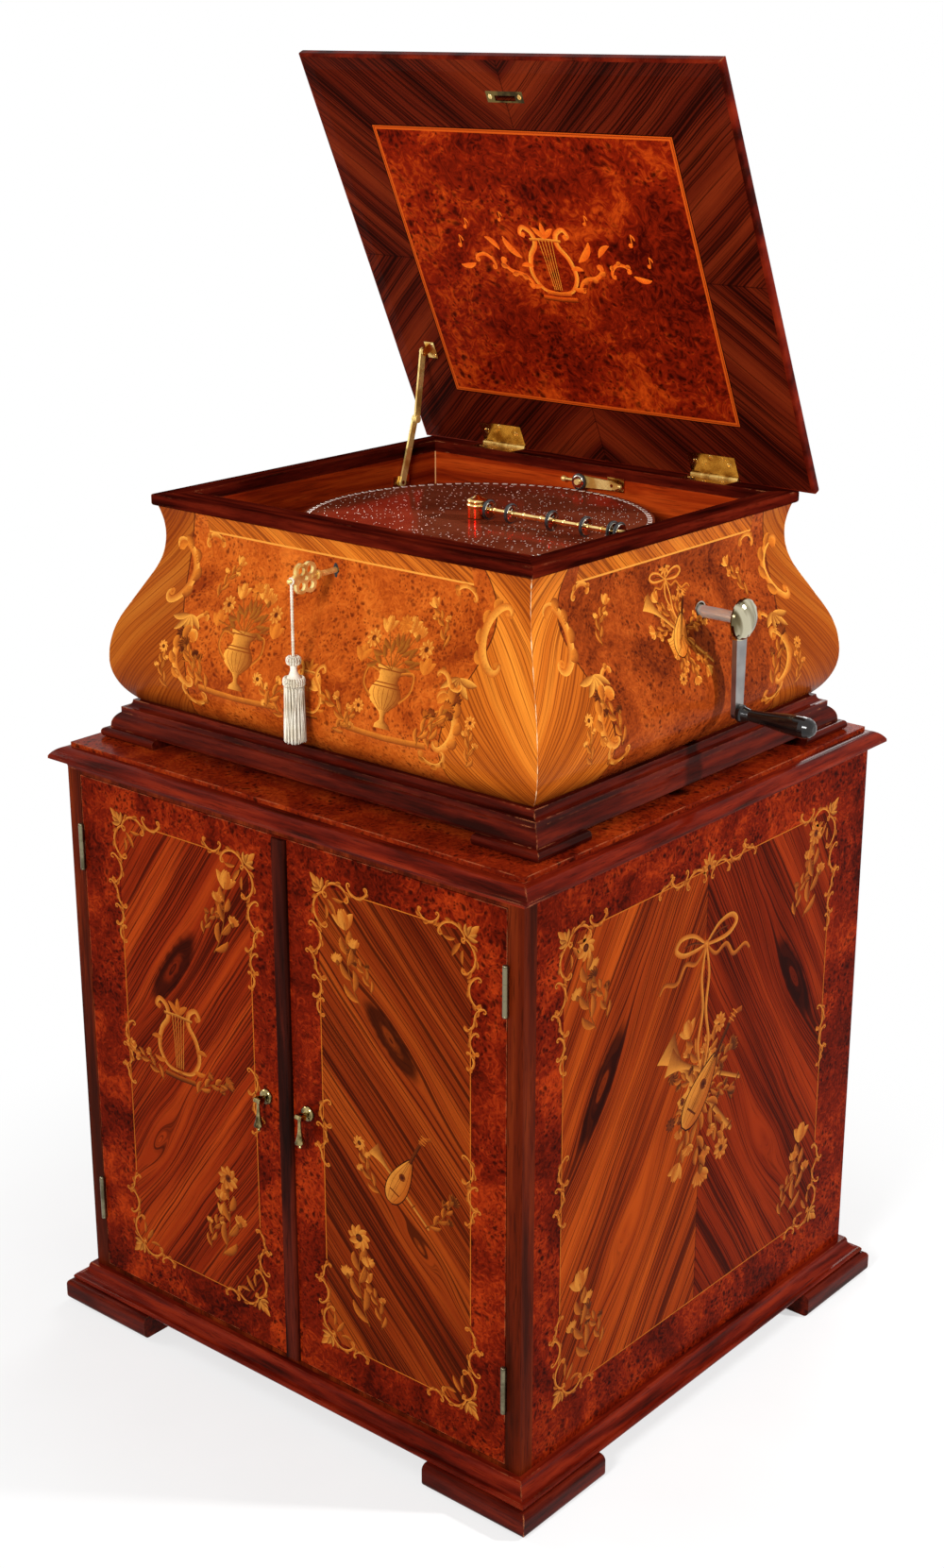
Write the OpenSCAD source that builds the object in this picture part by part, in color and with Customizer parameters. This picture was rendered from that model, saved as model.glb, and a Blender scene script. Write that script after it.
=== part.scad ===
// Disc music box in a bombe case with a lift-up lid, standing on a two-door disc cabinet.
// +Z is up, the doors face -Y and the winding crank is on the +X side.
// The origin is on the floor under the middle of the cabinet.

/* [Cabinet] */
// Width of the cabinet body
cab_w = 666; // [600:1:760]
// Depth of the cabinet body
cab_d = 636; // [580:1:720]
// Height of the cabinet body between its mouldings
cab_h = 642; // [600:1:760]
// Thickness of the side panels and the face frame
panel_t = 20; // [16:0.5:26]
// Thickness of the back panel
back_t = 12; // [8:0.5:18]
// Thickness of the floor and the shelf
shelf_t = 18; // [12:0.5:24]
// Clear height of the disc slots under the shelf
slot_h = 410; // [400:1:450]
// Thickness of one disc divider
divider_t = 8; // [5:0.5:12]
// Number of disc slots
slot_n = 6; // [4:1:8]
// Set-back of the shelf and dividers behind the doors
rack_back = 18; // [10:1:40]

/* [Cabinet feet and mouldings] */
// Height of the corner feet
foot_h = 28; // [20:0.5:40]
// Reach of the feet outside the cabinet body
foot_out = 28.5; // [24:0.5:34]
// Length of each arm of a corner foot
foot_len = 141; // [100:1:180]
// Depth of the feet and base frame inside the cabinet body
frame_in = 40; // [30:1:60]
// Radius of the rounded foot faces
foot_round = 7; // [3:0.5:9]
// Reach of the base moulding outside the cabinet body
base_out = 22; // [18:0.5:26]
// Radius of the base moulding's bead
base_bead_r = 3.5; // [2:0.25:5]
// Radius of the base moulding's cove
base_cove_r = 12; // [8:0.5:16]
// Height of the base moulding's top lip
base_lip_h = 3; // [2:0.5:6]
// Height of the top moulding
top_h = 25; // [24:0.5:32]
// Reach of the top moulding outside the cabinet body
top_out = 15.5; // [13:0.5:18]
// Radius of the cove under the top moulding
top_cove_r = 9; // [6:0.5:10]
// Radius of the top moulding's nosing
top_nose_r = 22; // [21:0.5:24]
// Set-in of the top board from the cabinet body
top_in = 3.5; // [1:0.5:4]
// Height of the top board above its moulding
top_step = 5; // [2:0.5:8]

/* [Doors] */
// Thickness of the doors
door_t = 20; // [16:0.5:26]
// Gap around the doors
door_gap = 1; // [0.6:0.1:2]
// Height of the rail under the doors
bottom_rail_h = 5; // [3:0.5:12]
// Height of the rail over the doors
top_rail_h = 4; // [3:0.5:12]
// Where the doors meet, across the cabinet
meet_x = -4.5; // [-12:0.5:12]
// Width of the cover strip on the right door
astragal_w = 18; // [12:0.5:24]
// Thickness of the cover strip
astragal_t = 5; // [3:0.5:8]
// Radius of the cover strip's rounded edge
astragal_round = 3; // [1:0.25:4]
// Height of the hinge centres above the cabinet body's bottom: lower
hinge_low = 98; // [70:1:140]
// Height of the hinge centres above the cabinet body's bottom: upper
hinge_high = 551; // [480:1:570]
// Length of a door hinge
hinge_len = 52; // [40:1:70]
// Radius of a door hinge's barrel
hinge_r = 3; // [2.5:0.1:4]
// Radius of a door hinge's pin
hinge_pin_r = 1.4; // [1:0.1:1.8]
// Depth of a door hinge's leaf
hinge_leaf_d = 17; // [12:0.5:18]
// Thickness of every hinge leaf
leaf_t = 1.5; // [1:0.1:2]
// Height of the pulls above the cabinet body's bottom
pull_z = 326; // [200:1:450]
// Distance from a pull to the edge of its door or cover strip
pull_in = 22; // [16:0.5:40]
// Radius of a pull's rosette
rosette_r = 9; // [7:0.5:12]
// Distance from the door to the drop's pivot
pull_reach = 14; // [12:0.5:20]
// Length of the drop below its pivot
drop_len = 37; // [30:1:50]
// Largest radius of the drop
drop_r = 5.8; // [5:0.2:8]

/* [Music box case] */
// Width of the case over the rim
box_w = 539; // [520:1:580]
// Depth of the case over the rim
box_d = 474; // [465:1:520]
// Set-back of the case from the middle of the cabinet
box_back = 7; // [-10:1:20]
// Height of the case's corner feet
box_foot_h = 11; // [8:0.5:16]
// Reach of those feet outside the rim
box_foot_out = 49; // [44:0.5:54]
// Length of each arm of those feet
box_foot_len = 86; // [76:1:120]
// Reach of the case's base moulding outside the rim
box_base_out = 40.7; // [38:0.1:43]
// Height of the case's base moulding
box_base_h = 32; // [30:0.5:38]
// Radius of the base moulding's round
box_base_r = 18; // [14:0.5:19]
// Radius of the base moulding's cove
box_cove_r = 8; // [5:0.5:9]
// Height of the curved walls
case_h = 223; // [215:1:240]
// Height of the waist above the bottom of the walls
waist_h = 192; // [186:1:200]
// Depth of the waist inside the rim
waist_in = 10.4; // [8:0.2:11]
// Radius of the waist
waist_r = 92; // [80:1:100]
// Height of the belly above the bottom of the walls
belly_h = 49; // [44:1:52]
// Reach of the belly outside the rim
belly_out = 39; // [36:0.5:41]
// Radius of the tuck under the belly
tuck_r = 63; // [58:1:70]
// Slope of the flank between waist and belly
flank_angle = 28.9; // [27:0.1:30]
// Distance from the rim's outer edge to the walls' flat inner face
wall_in = 20; // [17:0.5:21]
// Height of the rim
rim_h = 13; // [10:0.5:18]
// Width of the rim at the sides and back
rim_w = 27; // [25:0.5:32]
// Width of the rim at the front
rim_front_w = 38; // [36:0.5:41]
// Radius under the rim's outer edge
rim_under_r = 3; // [2:0.5:4]
// Radius on the rim's outer edge
rim_round = 2; // [1:0.5:4]
// Thickness of the case's bottom board and the deck
board_t = 8; // [6:0.5:10]
// Depth of the deck below the rim's top
deck_depth = 56; // [54:0.5:60]
// Size of the battens that carry the deck
batten = 15; // [10:0.5:20]

/* [Lid] */
// Reach of the lid outside the rim at each side
lid_side = 16.5; // [12:0.5:22]
// Reach of the lid outside the rim at the front
lid_front = 27.2; // [22:0.2:32]
// Reach of the lid behind its hinge axis
lid_back = 4.6; // [3:0.2:6]
// Thickness of the lid
lid_t = 14; // [12:0.5:20]
// Angle at which the stay holds the lid
lid_open = 65; // [60:1:70]
// Gap between the closed lid and the rim
lid_gap = 0.6; // [0.4:0.1:1.5]
// Width of the lid's solid edge
lid_edge_w = 18; // [12:0.5:24]
// Radius of the lid's edge on its lower side
lid_round_low = 3; // [1:0.5:5]
// Radius of the lid's edge on its upper side
lid_round_top = 6; // [2:0.5:7]
// Distance of the lid hinges from the middle
lid_hinge_x = 155; // [120:1:190]
// Length of a lid hinge
lid_hinge_len = 65; // [50:1:80]
// Depth of a lid hinge's leaf
lid_leaf_d = 26; // [20:0.5:27]
// Radius of a lid hinge's barrel
lid_hinge_r = 3.5; // [3:0.1:4]
// Radius of a lid hinge's pin
lid_pin_r = 1.6; // [1:0.1:2]

/* [Lid stay] */
// Distance from the lid's hinge to the stay's pivot on the lid
stay_reach = 128; // [124:0.5:132]
// Distance from the lid's inner face to that pivot
stay_drop = 7; // [6:0.5:9]
// Distance of the wall pivot in front of the lid's hinge
stay_wall_y = 95.7; // [93:0.1:98]
// Depth of the wall pivot below the rim's top
stay_wall_z = 42; // [40:0.5:44]
// Length of the lower link between its pivots
stay_lower = 78.5; // [77.5:0.1:82]
// Length of the upper link between its pivots
stay_upper = 81.5; // [80.5:0.1:85]
// Width of the links
link_w = 9; // [7:0.5:11]
// Thickness of the links
link_t = 2.5; // [2:0.1:3]
// Radius of the stay's pivots
stay_pin_r = 2.5; // [2:0.1:3]

/* [Lock and key] */
// Height of the keyhole above the bottom of the curved walls
key_h = 190; // [186:1:194]
// Width of the lock
lock_w = 62; // [50:1:70]
// Thickness of the lock
lock_t = 11; // [10:0.5:11.5]
// Width of the lock's bolt
bolt_w = 24; // [16:1:30]
// Thickness of the lock's bolt
bolt_t = 3; // [2:0.5:4]
// Radius of the key's shank
key_r = 3; // [2.5:0.1:3.4]
// Distance from the rim's front edge to the middle of the key's bow
key_out = 36; // [34:0.5:40]
// Radius of the bow's lobes
bow_lobe_r = 8.5; // [8:0.25:9.5]
// Thickness of the bow
bow_t = 4; // [3:0.5:5]
// Length of the cord from the bow to the tassel
cord_len = 79; // [60:1:84]
// Radius of the cord
cord_r = 1.5; // [1:0.1:1.8]
// Length of the tassel's head
tassel_head_l = 33; // [26:1:36]
// Length of the tassel's skirt
tassel_skirt_l = 60; // [50:1:70]
// Radius of the tassel's skirt at its hem
tassel_r = 12.5; // [11.5:0.25:13.5]
// Radius of the ruff at the top of the tassel's head
tassel_ruff_r = 8.3; // [7:0.1:9]
// Radius of the ruff over the tassel's skirt
tassel_collar_r = 12; // [10:0.25:13]
// Number of folds round the skirt
tassel_folds = 20; // [12:1:24]

/* [Winding crank] */
// Distance of the crank behind the middle of the cabinet
crank_y = 51; // [46:0.5:56]
// Height of the crank above the bottom of the curved walls
crank_h = 138; // [134:0.5:142]
// Radius of the crank's shaft
crank_r = 5; // [4:0.1:6]
// Radius of the sleeve that joins the crank's arm to its shaft
crank_sleeve_r = 6.6; // [6.2:0.1:7.4]
// Depth of the hollow round the sleeve in the shaft's bush
bush_sink = 14; // [10:0.5:18]
// Distance of the hub outside the rim
crank_hub_out = 52; // [48:0.5:60]
// Radius of the hub's domed cap
crank_cap_r = 22.5; // [18:0.5:26]
// Height of the hub's domed cap
crank_cap_h = 10; // [7:0.5:11]
// Half the width of the crank's arm at the hub
crank_arm_r = 10; // [7:0.25:12]
// Half the width of the crank's arm at the grip
crank_end_r = 7.25; // [6:0.25:9]
// Throw of the crank
crank_throw = 103; // [95:1:115]
// Thickness of the crank's arm
crank_arm_t = 6; // [5:0.5:8]
// Length of the grip
grip_len = 92.5; // [80:0.5:105]
// Largest radius of the grip
grip_r = 11.75; // [10:0.25:13]
// Radius of the grip's neck
grip_neck_r = 6.5; // [5.5:0.25:8]
// Radius of the grip's flange beside the arm
grip_flange_r = 9.75; // [8:0.25:11]
// Radius of the grip's spindle
grip_pin_r = 3; // [2.5:0.1:4]

/* [Disc and drive] */
// Gap between the music disc and the rim, half of front and back together
disc_gap = 7.5; // [6.5:0.5:14]
// Gap between the music disc and the rim at each side
disc_side = 45.5; // [45:0.5:60]
// Set-forward of the disc's middle from the middle of the rim
disc_fore = 3.5; // [0:0.25:3.5]
// Thickness of the music disc
disc_t = 0.8; // [0.6:0.1:1.2]
// Depth of the disc's top face below the rim's top
disc_depth = 29; // [28:0.5:31]
// Number of drive holes round the disc
drive_n = 108; // [96:12:120]
// Distance of the drive holes inside the disc's edge
drive_in = 5.5; // [5:0.25:7]
// Number of teeth on the drive sprocket
sprocket_n = 12; // [11:1:13]
// Number of teeth on the great wheel
great_n = 48; // [44:1:52]
// Number of teeth on the sprocket's pinion
pinion_n = 12; // [12:1:13]
// Number of teeth on the governor's pinion
governor_n = 10; // [10:1:11]
// Width of the gears' faces
gear_w = 6; // [4:0.5:7]
// Radius of the spring barrel
barrel_r = 31; // [26:0.5:31]
// Length of the spring barrel
barrel_len = 56; // [44:1:58]
// Radius of the governor's vanes
vane_r = 24; // [16:0.5:25]
// Gap between the motor's plates and the case's wall
motor_gap = 22.5; // [20:0.5:23]
// Reach of the motor's plates in front of the disc's middle
motor_front = 26; // [25:1:32]
// Reach of the motor's plates behind the crank
motor_rear = 68; // [67:1:76]

/* [Pressure bar and combs] */
// Radius of the pressure bar's tube
bar_r = 3.2; // [2.6:0.1:4]
// Distance of the pressure bar's pivot from the rim
bar_pivot_in = 20; // [16:0.5:22]
// Radius of the hub on the pressure bar
hub_r = 11; // [9:0.5:12]
// Radius of the rollers on the bar
roller_r = 11.2; // [9:0.1:12]
// Radius of the roller at the disc's edge
edge_roller_r = 9.6; // [8:0.1:11]
// Width of the rollers
roller_w = 4; // [3:0.25:4.5]
// Radius of the disc's spindle
spindle_r = 4; // [3:0.1:5]
// Number of star wheels
star_n = 31; // [20:1:31]
// Distance of the first star wheel from the disc's middle
star_x0 = 42; // [38:0.5:46]
// Distance of the last star wheel inside the drive holes
star_in = 29.5; // [29:0.5:34]
// Radius of the star wheels
star_r = 8; // [7:0.1:8]
// Depth of the combs
comb_d = 60; // [54:1:64]
// Thickness of the bedplate
bedplate_t = 6; // [5:0.5:7]
// Depth of the bedplate, front to back
bed_d = 180; // [160:1:200]
// Reach of the bedplate to the left of the disc's middle
bed_left = 60; // [40:1:90]
// Radius of the bedplate's corners
bed_round = 14; // [6:1:20]

/* [Hidden] */
// Curve fineness and the clearances that all pieces share
$fn = 48;
run = 0.05;
clear = 0.3;
mitre_gap = 0.04;
e = 1;

// Cabinet levels and planes
body_x = cab_w / 2;
body_y = cab_d / 2;
base_h = 2 * base_bead_r + base_cove_r + base_lip_h;
base_z0 = foot_h;
body_z0 = base_z0 + base_h;
body_z1 = body_z0 + cab_h;
cab_top = body_z1 + top_h + top_step;
front_y = -body_y;
inner_x = body_x - panel_t;
floor_z = body_z0 + shelf_t;
shelf_z0 = floor_z + slot_h;
rack_y0 = front_y + door_t + rack_back;
rack_y1 = body_y - back_t;
door_x = inner_x - door_gap;
door_z0 = body_z0 + bottom_rail_h + door_gap;
door_z1 = body_z1 - top_rail_h - door_gap;
hinge_x = inner_x - door_gap / 2;
hinge_y = front_y - hinge_r - 0.2;
hinge_zs = [body_z0 + hinge_low, body_z0 + hinge_high];
stop_h = 8;
stop_t = 10;

// Case levels and planes
box_x = box_w / 2;
box_y = box_d / 2;
box_front = box_back - box_y;
box_rear = box_back + box_y;
box_base_z0 = cab_top + box_foot_h;
case_z0 = box_base_z0 + box_base_h;
case_z1 = case_z0 + case_h;
rim_z1 = case_z1 + rim_h;
well_x = box_x - wall_in;
well_y0 = box_front + wall_in;
well_y1 = box_rear - wall_in;
mouth_x = box_x - rim_w;
mouth_y0 = box_front + rim_front_w;
mouth_y1 = box_rear - rim_w;
liner_t = rim_w - wall_in;
deck_z1 = rim_z1 - deck_depth;
deck_z0 = deck_z1 - board_t;

// Lid size and hinge axis
lid_w = box_w + 2 * lid_side;
lid_y = box_rear + lid_hinge_r + 0.2;
lid_z = rim_z1 + lid_gap / 2;
lid_z0 = rim_z1 + lid_gap;
lid_y1 = lid_y + lid_back;
lid_d = lid_y1 - box_front + lid_front;
lid_mid_y = lid_y1 - lid_d / 2;
lid_leaf_y = box_rear - 0.2;

// Stay pivots as [y, z]: on the lid when shut and at rest, on the wall, and the elbow at rest
stay_lid_shut = [lid_y - stay_reach, lid_z0 - stay_drop];
function turned(q, a) = [q[0] * cos(a) - q[1] * sin(a), q[0] * sin(a) + q[1] * cos(a)];
stay_lid_at = [lid_y, lid_z] + turned(stay_lid_shut - [lid_y, lid_z], -lid_open);
stay_wall_at = [lid_y - stay_wall_y, rim_z1 - stay_wall_z];
stay_span = norm(stay_lid_at - stay_wall_at);
stay_dir = (stay_lid_at - stay_wall_at) / stay_span;
stay_part = (stay_lower^2 - stay_upper^2 + stay_span^2) / (2 * stay_span);
stay_bow = sqrt(max(0, stay_lower^2 - stay_part^2));
stay_elbow = stay_wall_at + stay_part * stay_dir + stay_bow * [stay_dir[1], -stay_dir[0]];
stay_plate_t = 2;
link_gap = 0.5;
lower_x0 = -mouth_x + stay_plate_t + link_gap;
upper_x0 = lower_x0 + link_t + link_gap;
ear_x0 = upper_x0 + link_t + link_gap;
stay_slot_w = liner_t + 18;

// Lock and key
key_z = case_z0 + key_h;
lock_y0 = well_y0 - 4;
lock_y1 = lock_y0 + lock_t;
lock_z0 = deck_z1 + clear;
lock_z1 = case_z1 - 1;
bolt_y = lock_y0 + 2 + bolt_t / 2;
bolt_lift = 9;
bolt_z1 = rim_z1 - 1;
bolt_z0 = key_z + 11;
bit_r = 7;
bow_y = box_front - key_out;
pin_tip_y = bow_y - 2 * bow_lobe_r - 6;
pin_r = 1.5;
cord_y = pin_tip_y + 3;
cord_loop_r = pin_r + cord_r * 0.7 + 0.2;
tassel_z1 = key_z - cord_len;

// Winding crank and drive train, all on axes along X
crank_z = case_z0 + crank_h;
hub_x = box_x + crank_hub_out;
grip_z = crank_z - crank_throw;
grip_x0 = hub_x + crank_arm_t + clear;
disc_r = min((mouth_y1 - mouth_y0) / 2 - disc_gap, mouth_x - disc_side);
disc_y = (mouth_y0 + mouth_y1) / 2 - disc_fore;
disc_z1 = rim_z1 - disc_depth;
disc_z0 = disc_z1 - disc_t;
drive_r = disc_r - drive_in;
sprocket_r = drive_r * sprocket_n / drive_n;
sprocket_z = (disc_z0 + disc_z1) / 2 - sprocket_r;
shaft_gap = [disc_y - crank_y, sprocket_z - crank_z];
module_mm = 2 * norm(shaft_gap) / (great_n + pinion_n);
mesh_angle = atan2(shaft_gap[1], shaft_gap[0]);
governor_z = crank_z - module_mm * (great_n + governor_n) / 2;
sprocket_w = 2;
plate_t = 4;
right_plate_x = well_x - motor_gap;
gear_x = right_plate_x - 9 - gear_w;
mid_plate_x = gear_x - 8 - plate_t;
barrel_x0 = mid_plate_x - 2 - barrel_len;
left_plate_x = barrel_x0 - 6 - plate_t;
sleeve_r = crank_r + 4;
sprocket_shaft_r = 4;
governor_r = 2.5;
bush_r = crank_sleeve_r + 3.9;
bush_x1 = box_x + 4;
motor_y0 = disc_y - motor_front;
motor_y1 = crank_y + motor_rear;
motor_well_x0 = drive_r - 7.5;

// Pressure bar, combs and rollers
bar_z = disc_z1 + clear + roller_r;
bar_pivot_x = mouth_x - bar_pivot_in;
bar_pin_r = 2.5;
bar_eye_r = 6;
bar_eye_w = 10;
bed_z1 = deck_z1 + bedplate_t;
bed_x1 = motor_well_x0 - 3;
star_z = disc_z0 - 0.4 - star_r;
star_pitch = (drive_r - star_in - star_x0) / (star_n - 1);
star_axle_r = 1.5;
roller_xs = concat([for (f = [0.087, 0.244, 0.533, 0.767]) f * disc_r], [drive_r - 4.5, drive_r + 4.7]);
edge_x = -0.036 * disc_r;
edge_pivot_x = 0.193 * disc_r;
edge_z = disc_z1 + clear + edge_roller_r;
edge_roller_y = disc_y + drive_r + 3;
edge_knob_x = -0.168 * disc_r;

// Colours of the materials
mahogany = [0.23, 0.05, 0.03];
brown_wood = [0.35, 0.15, 0.06];
rosewood = [0.62, 0.32, 0.11];
burl = [0.55, 0.17, 0.05];
brass = [0.80, 0.63, 0.30];
steel = [0.72, 0.72, 0.70];
iron = [0.50, 0.42, 0.22];
ebony = [0.05, 0.03, 0.03];
cream = [0.92, 0.88, 0.76];

// Points round an arc from angle a0 to a1
function arc(c, r, a0, a1, n = 8) =
  [for (i = [0:n]) let (a = a0 + (a1 - a0) * i / n) c + r * [cos(a), sin(a)]];

// One side of a mitred frame round a rectangle of half sizes hx and hy.
// The outline's points are [distance outside the rectangle, height].
// With a length, only the two ends of the side are left, as the arms of corner feet.
module mitred_side(hx, hy, side, outline, length = 0) {
  dist = side % 2 == 0 ? hx : hy;
  along = side % 2 == 0 ? hy : hx;
  reach = max([for (q = outline) q[0]]);
  depth = -min([for (q = outline) q[0]]);
  low = min([for (q = outline) q[1]]);
  high = max([for (q = outline) q[1]]);
  inner = along - depth - mitre_gap;
  outer = along + reach - mitre_gap;
  stop = length == 0 ? 0 : along + reach - length;
  rotate([0, 0, 90 * side])
    intersection() {
      rotate([90, 0, 0])
        linear_extrude(height = 2 * (along + reach + e), center = true)
          polygon([for (q = outline) [dist + q[0], q[1]]]);
      translate([0, 0, low - e])
        linear_extrude(height = high - low + 2 * e)
          if (length == 0)
            polygon([[dist - depth, -inner], [dist + reach, -outer],
                     [dist + reach, outer], [dist - depth, inner]]);
          else
            for (k = [-1, 1])
              polygon([[dist - depth, k * stop], [dist + reach, k * stop],
                       [dist + reach, k * outer], [dist - depth, k * inner]]);
    }
}

module mitred_frame(hx, hy, outline, length = 0) {
  for (side = [0:3])
    mitred_side(hx, hy, side, outline, length);
}

module on_box() {
  translate([0, box_back, 0]) children();
}

// A block between two corners
module block(low, high) {
  translate(low) cube(high - low);
}

// A round bar along X, and one along Y that runs from y0 to y1
module bar_x(x0, x1, y, z, r) {
  translate([x0, y, z]) rotate([0, 90, 0]) cylinder(h = x1 - x0, r = r);
}

module bar_y(y0, y1, x, z, r) {
  translate([x, y1, z]) rotate([90, 0, 0]) cylinder(h = y1 - y0, r = r);
}

// Cabinet carcass

function block_outline(out, depth, z0, h, r) =
  concat([[-depth, z0]], arc([out - r, z0 + r], r, -90, 0),
         arc([out - r, z0 + h - r], r, 0, 90), [[-depth, z0 + h]]);

module cabinet_feet() {
  color(mahogany)
    mitred_frame(body_x, body_y, block_outline(foot_out, frame_in, 0, foot_h, foot_round), foot_len);
}

function base_outline() =
  let (bead = [base_out - base_bead_r, base_z0 + base_bead_r],
       cove = [base_out - 2, base_z0 + 2 * base_bead_r + base_cove_r])
  concat([[-frame_in, base_z0]], arc(bead, base_bead_r, -90, 90), arc(cove, base_cove_r, 270, 180),
         [[cove[0] - base_cove_r - 1.5, body_z0], [-frame_in, body_z0]]);

module base_moulding() {
  color(mahogany) mitred_frame(body_x, body_y, base_outline());
}

module cabinet_shelves() {
  color(brown_wood) {
    block([-inner_x, front_y + door_t, body_z0], [inner_x, rack_y1, floor_z]);
    block([-inner_x, rack_y0, shelf_z0], [inner_x, rack_y1, shelf_z0 + shelf_t]);
  }
}

module side_panel(k) {
  color(burl)
    translate([k * (body_x - panel_t / 2), panel_t / 2, (body_z0 + body_z1) / 2])
      cube([panel_t, cab_d - panel_t, cab_h], center = true);
}

module left_side() {
  side_panel(-1);
}

module right_side() {
  side_panel(1);
}

module back_panel() {
  color(brown_wood) block([-inner_x, rack_y1, body_z0], [inner_x, body_y, body_z1]);
}

// Stiles with pockets for the hinge leaves, two rails and the doors' stop
module face_frame() {
  rail_x = inner_x - mitre_gap;
  stop_y = front_y + door_t + 0.4;
  color(brown_wood) {
    for (k = [0, 1])
      mirror([k, 0, 0])
        difference() {
          block([inner_x, front_y, body_z0], [body_x, front_y + panel_t, body_z1]);
          for (z = hinge_zs)
            block([inner_x - e, front_y - e, z - hinge_len / 2],
                  [inner_x + leaf_t, front_y + hinge_leaf_d, z + hinge_len / 2]);
        }
    block([-rail_x, front_y, body_z0 + mitre_gap], [rail_x, front_y + door_t - mitre_gap, body_z0 + bottom_rail_h]);
    block([-rail_x, front_y, body_z1 - top_rail_h], [rail_x, front_y + door_t, body_z1]);
    block([-rail_x, stop_y, body_z1 - stop_h], [rail_x, stop_y + stop_t, body_z1]);
  }
}

module cabinet_top_board() {
  color(burl)
    block([-body_x + top_in, -body_y + top_in, body_z1], [body_x - top_in, body_y - top_in, cab_top]);
}

function top_outline() =
  let (z1 = body_z1 + top_h, start = acos((top_out + top_in) / top_nose_r))
  concat([[-top_in, body_z1]], arc([top_cove_r, body_z1], top_cove_r, 180, 90),
         [[top_out, body_z1 + top_cove_r + 2]],
         arc([-top_in, z1 - top_nose_r], top_nose_r, start, 90));

module top_moulding() {
  color(mahogany) mitred_frame(body_x, body_y, top_outline());
}

module disc_dividers() {
  pitch = 2 * inner_x / slot_n;
  color(brown_wood)
    for (i = [1:slot_n - 1])
      block([-inner_x + i * pitch - divider_t / 2, rack_y0, floor_z],
            [-inner_x + i * pitch + divider_t / 2, rack_y1, shelf_z0]);
}

// Doors and their hinges

knuckle = hinge_len / 3;

// The leaf and knuckles of one hinge at the right-hand stile, at height z.
// The moving leaf has the middle knuckle and the fixed leaf the outer two.
module hinge_half(z, leaf_x, moving) {
  spans = moving ? [[-knuckle / 2 + 0.2, knuckle / 2 - 0.2]]
                 : [[-hinge_len / 2, -knuckle / 2], [knuckle / 2, hinge_len / 2]];
  block([leaf_x, front_y, z - hinge_len / 2], [leaf_x + leaf_t, front_y + hinge_leaf_d, z + hinge_len / 2]);
  for (s = spans)
    difference() {
      union() {
        translate([hinge_x, hinge_y, z + s[0]]) cylinder(h = s[1] - s[0], r = hinge_r);
        block([leaf_x, hinge_y, z + s[0]], [leaf_x + leaf_t, front_y + e, z + s[1]]);
      }
      translate([hinge_x, hinge_y, z + s[0] - e])
        cylinder(h = s[1] - s[0] + 2 * e, r = hinge_pin_r + run);
    }
}

module door_hinge_fixed() {
  color(steel)
    for (k = [0, 1], z = hinge_zs)
      mirror([k, 0, 0]) {
        hinge_half(z, inner_x, false);
        translate([hinge_x, hinge_y, z - hinge_len / 2]) cylinder(h = hinge_len, r = hinge_pin_r);
      }
}

module right_hinge_leaves() {
  color(steel)
    for (z = hinge_zs)
      hinge_half(z, door_x - leaf_t, true);
}

module left_hinge_leaves() {
  mirror([1, 0, 0]) right_hinge_leaves();
}

// A door from its hinged edge at x = door_x to its meeting edge
module door(meet) {
  color(burl)
    difference() {
      block([meet, front_y, door_z0], [door_x, front_y + door_t, door_z1]);
      for (z = hinge_zs)
        block([door_x - leaf_t, front_y - e, z - hinge_len / 2],
              [door_x + e, front_y + hinge_leaf_d, z + hinge_len / 2]);
    }
}

module right_door() {
  door(meet_x + door_gap / 2);
}

module left_door() {
  mirror([1, 0, 0]) door(door_gap / 2 - meet_x);
}

// The cover strip on the right door's meeting edge, flush with that edge
module astragal() {
  x0 = meet_x + door_gap / 2;
  x1 = x0 + astragal_w;
  y0 = front_y - astragal_t;
  color(ebony)
    translate([0, 0, door_z0 + door_gap])
      linear_extrude(height = door_z1 - door_z0 - 2 * door_gap)
        polygon(concat([[x0, front_y], [x0, y0]],
                       arc([x1 - astragal_round, y0 + astragal_round], astragal_round, -90, 0),
                       [[x1, front_y]]));
}

right_pull_x = meet_x + door_gap / 2 + astragal_w + pull_in;
left_pull_x = meet_x - door_gap / 2 - pull_in;
pull_z_abs = body_z0 + pull_z;
pull_pin_r = 1.2;
eye_w = 5;

// A stepped round rosette with two ears and the drop's pin
module pull_rosette(x) {
  ear_t = 1.8;
  color(brass)
    translate([x, front_y, pull_z_abs]) {
      rotate([90, 0, 0])
        rotate_extrude()
          polygon(concat([[0, 0], [rosette_r, 0], [rosette_r, 1.2]],
                         arc([rosette_r - 3, 1.2], 3, 0, 90, 5), [[3.4, 5], [3.2, 8.5], [0, 8.5]]));
      block([-eye_w / 2 - clear - ear_t, -9.5, -3], [eye_w / 2 + clear + ear_t, -8, 3]);
      for (k = [0, 1])
        mirror([k, 0, 0]) {
          block([eye_w / 2 + clear, -pull_reach, -3], [eye_w / 2 + clear + ear_t, -9.5, 3]);
          bar_x(eye_w / 2 + clear, eye_w / 2 + clear + ear_t, -pull_reach, 0, 3);
        }
      bar_x(-eye_w / 2 - clear - ear_t, eye_w / 2 + clear + ear_t, -pull_reach, 0, pull_pin_r);
    }
}

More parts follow.
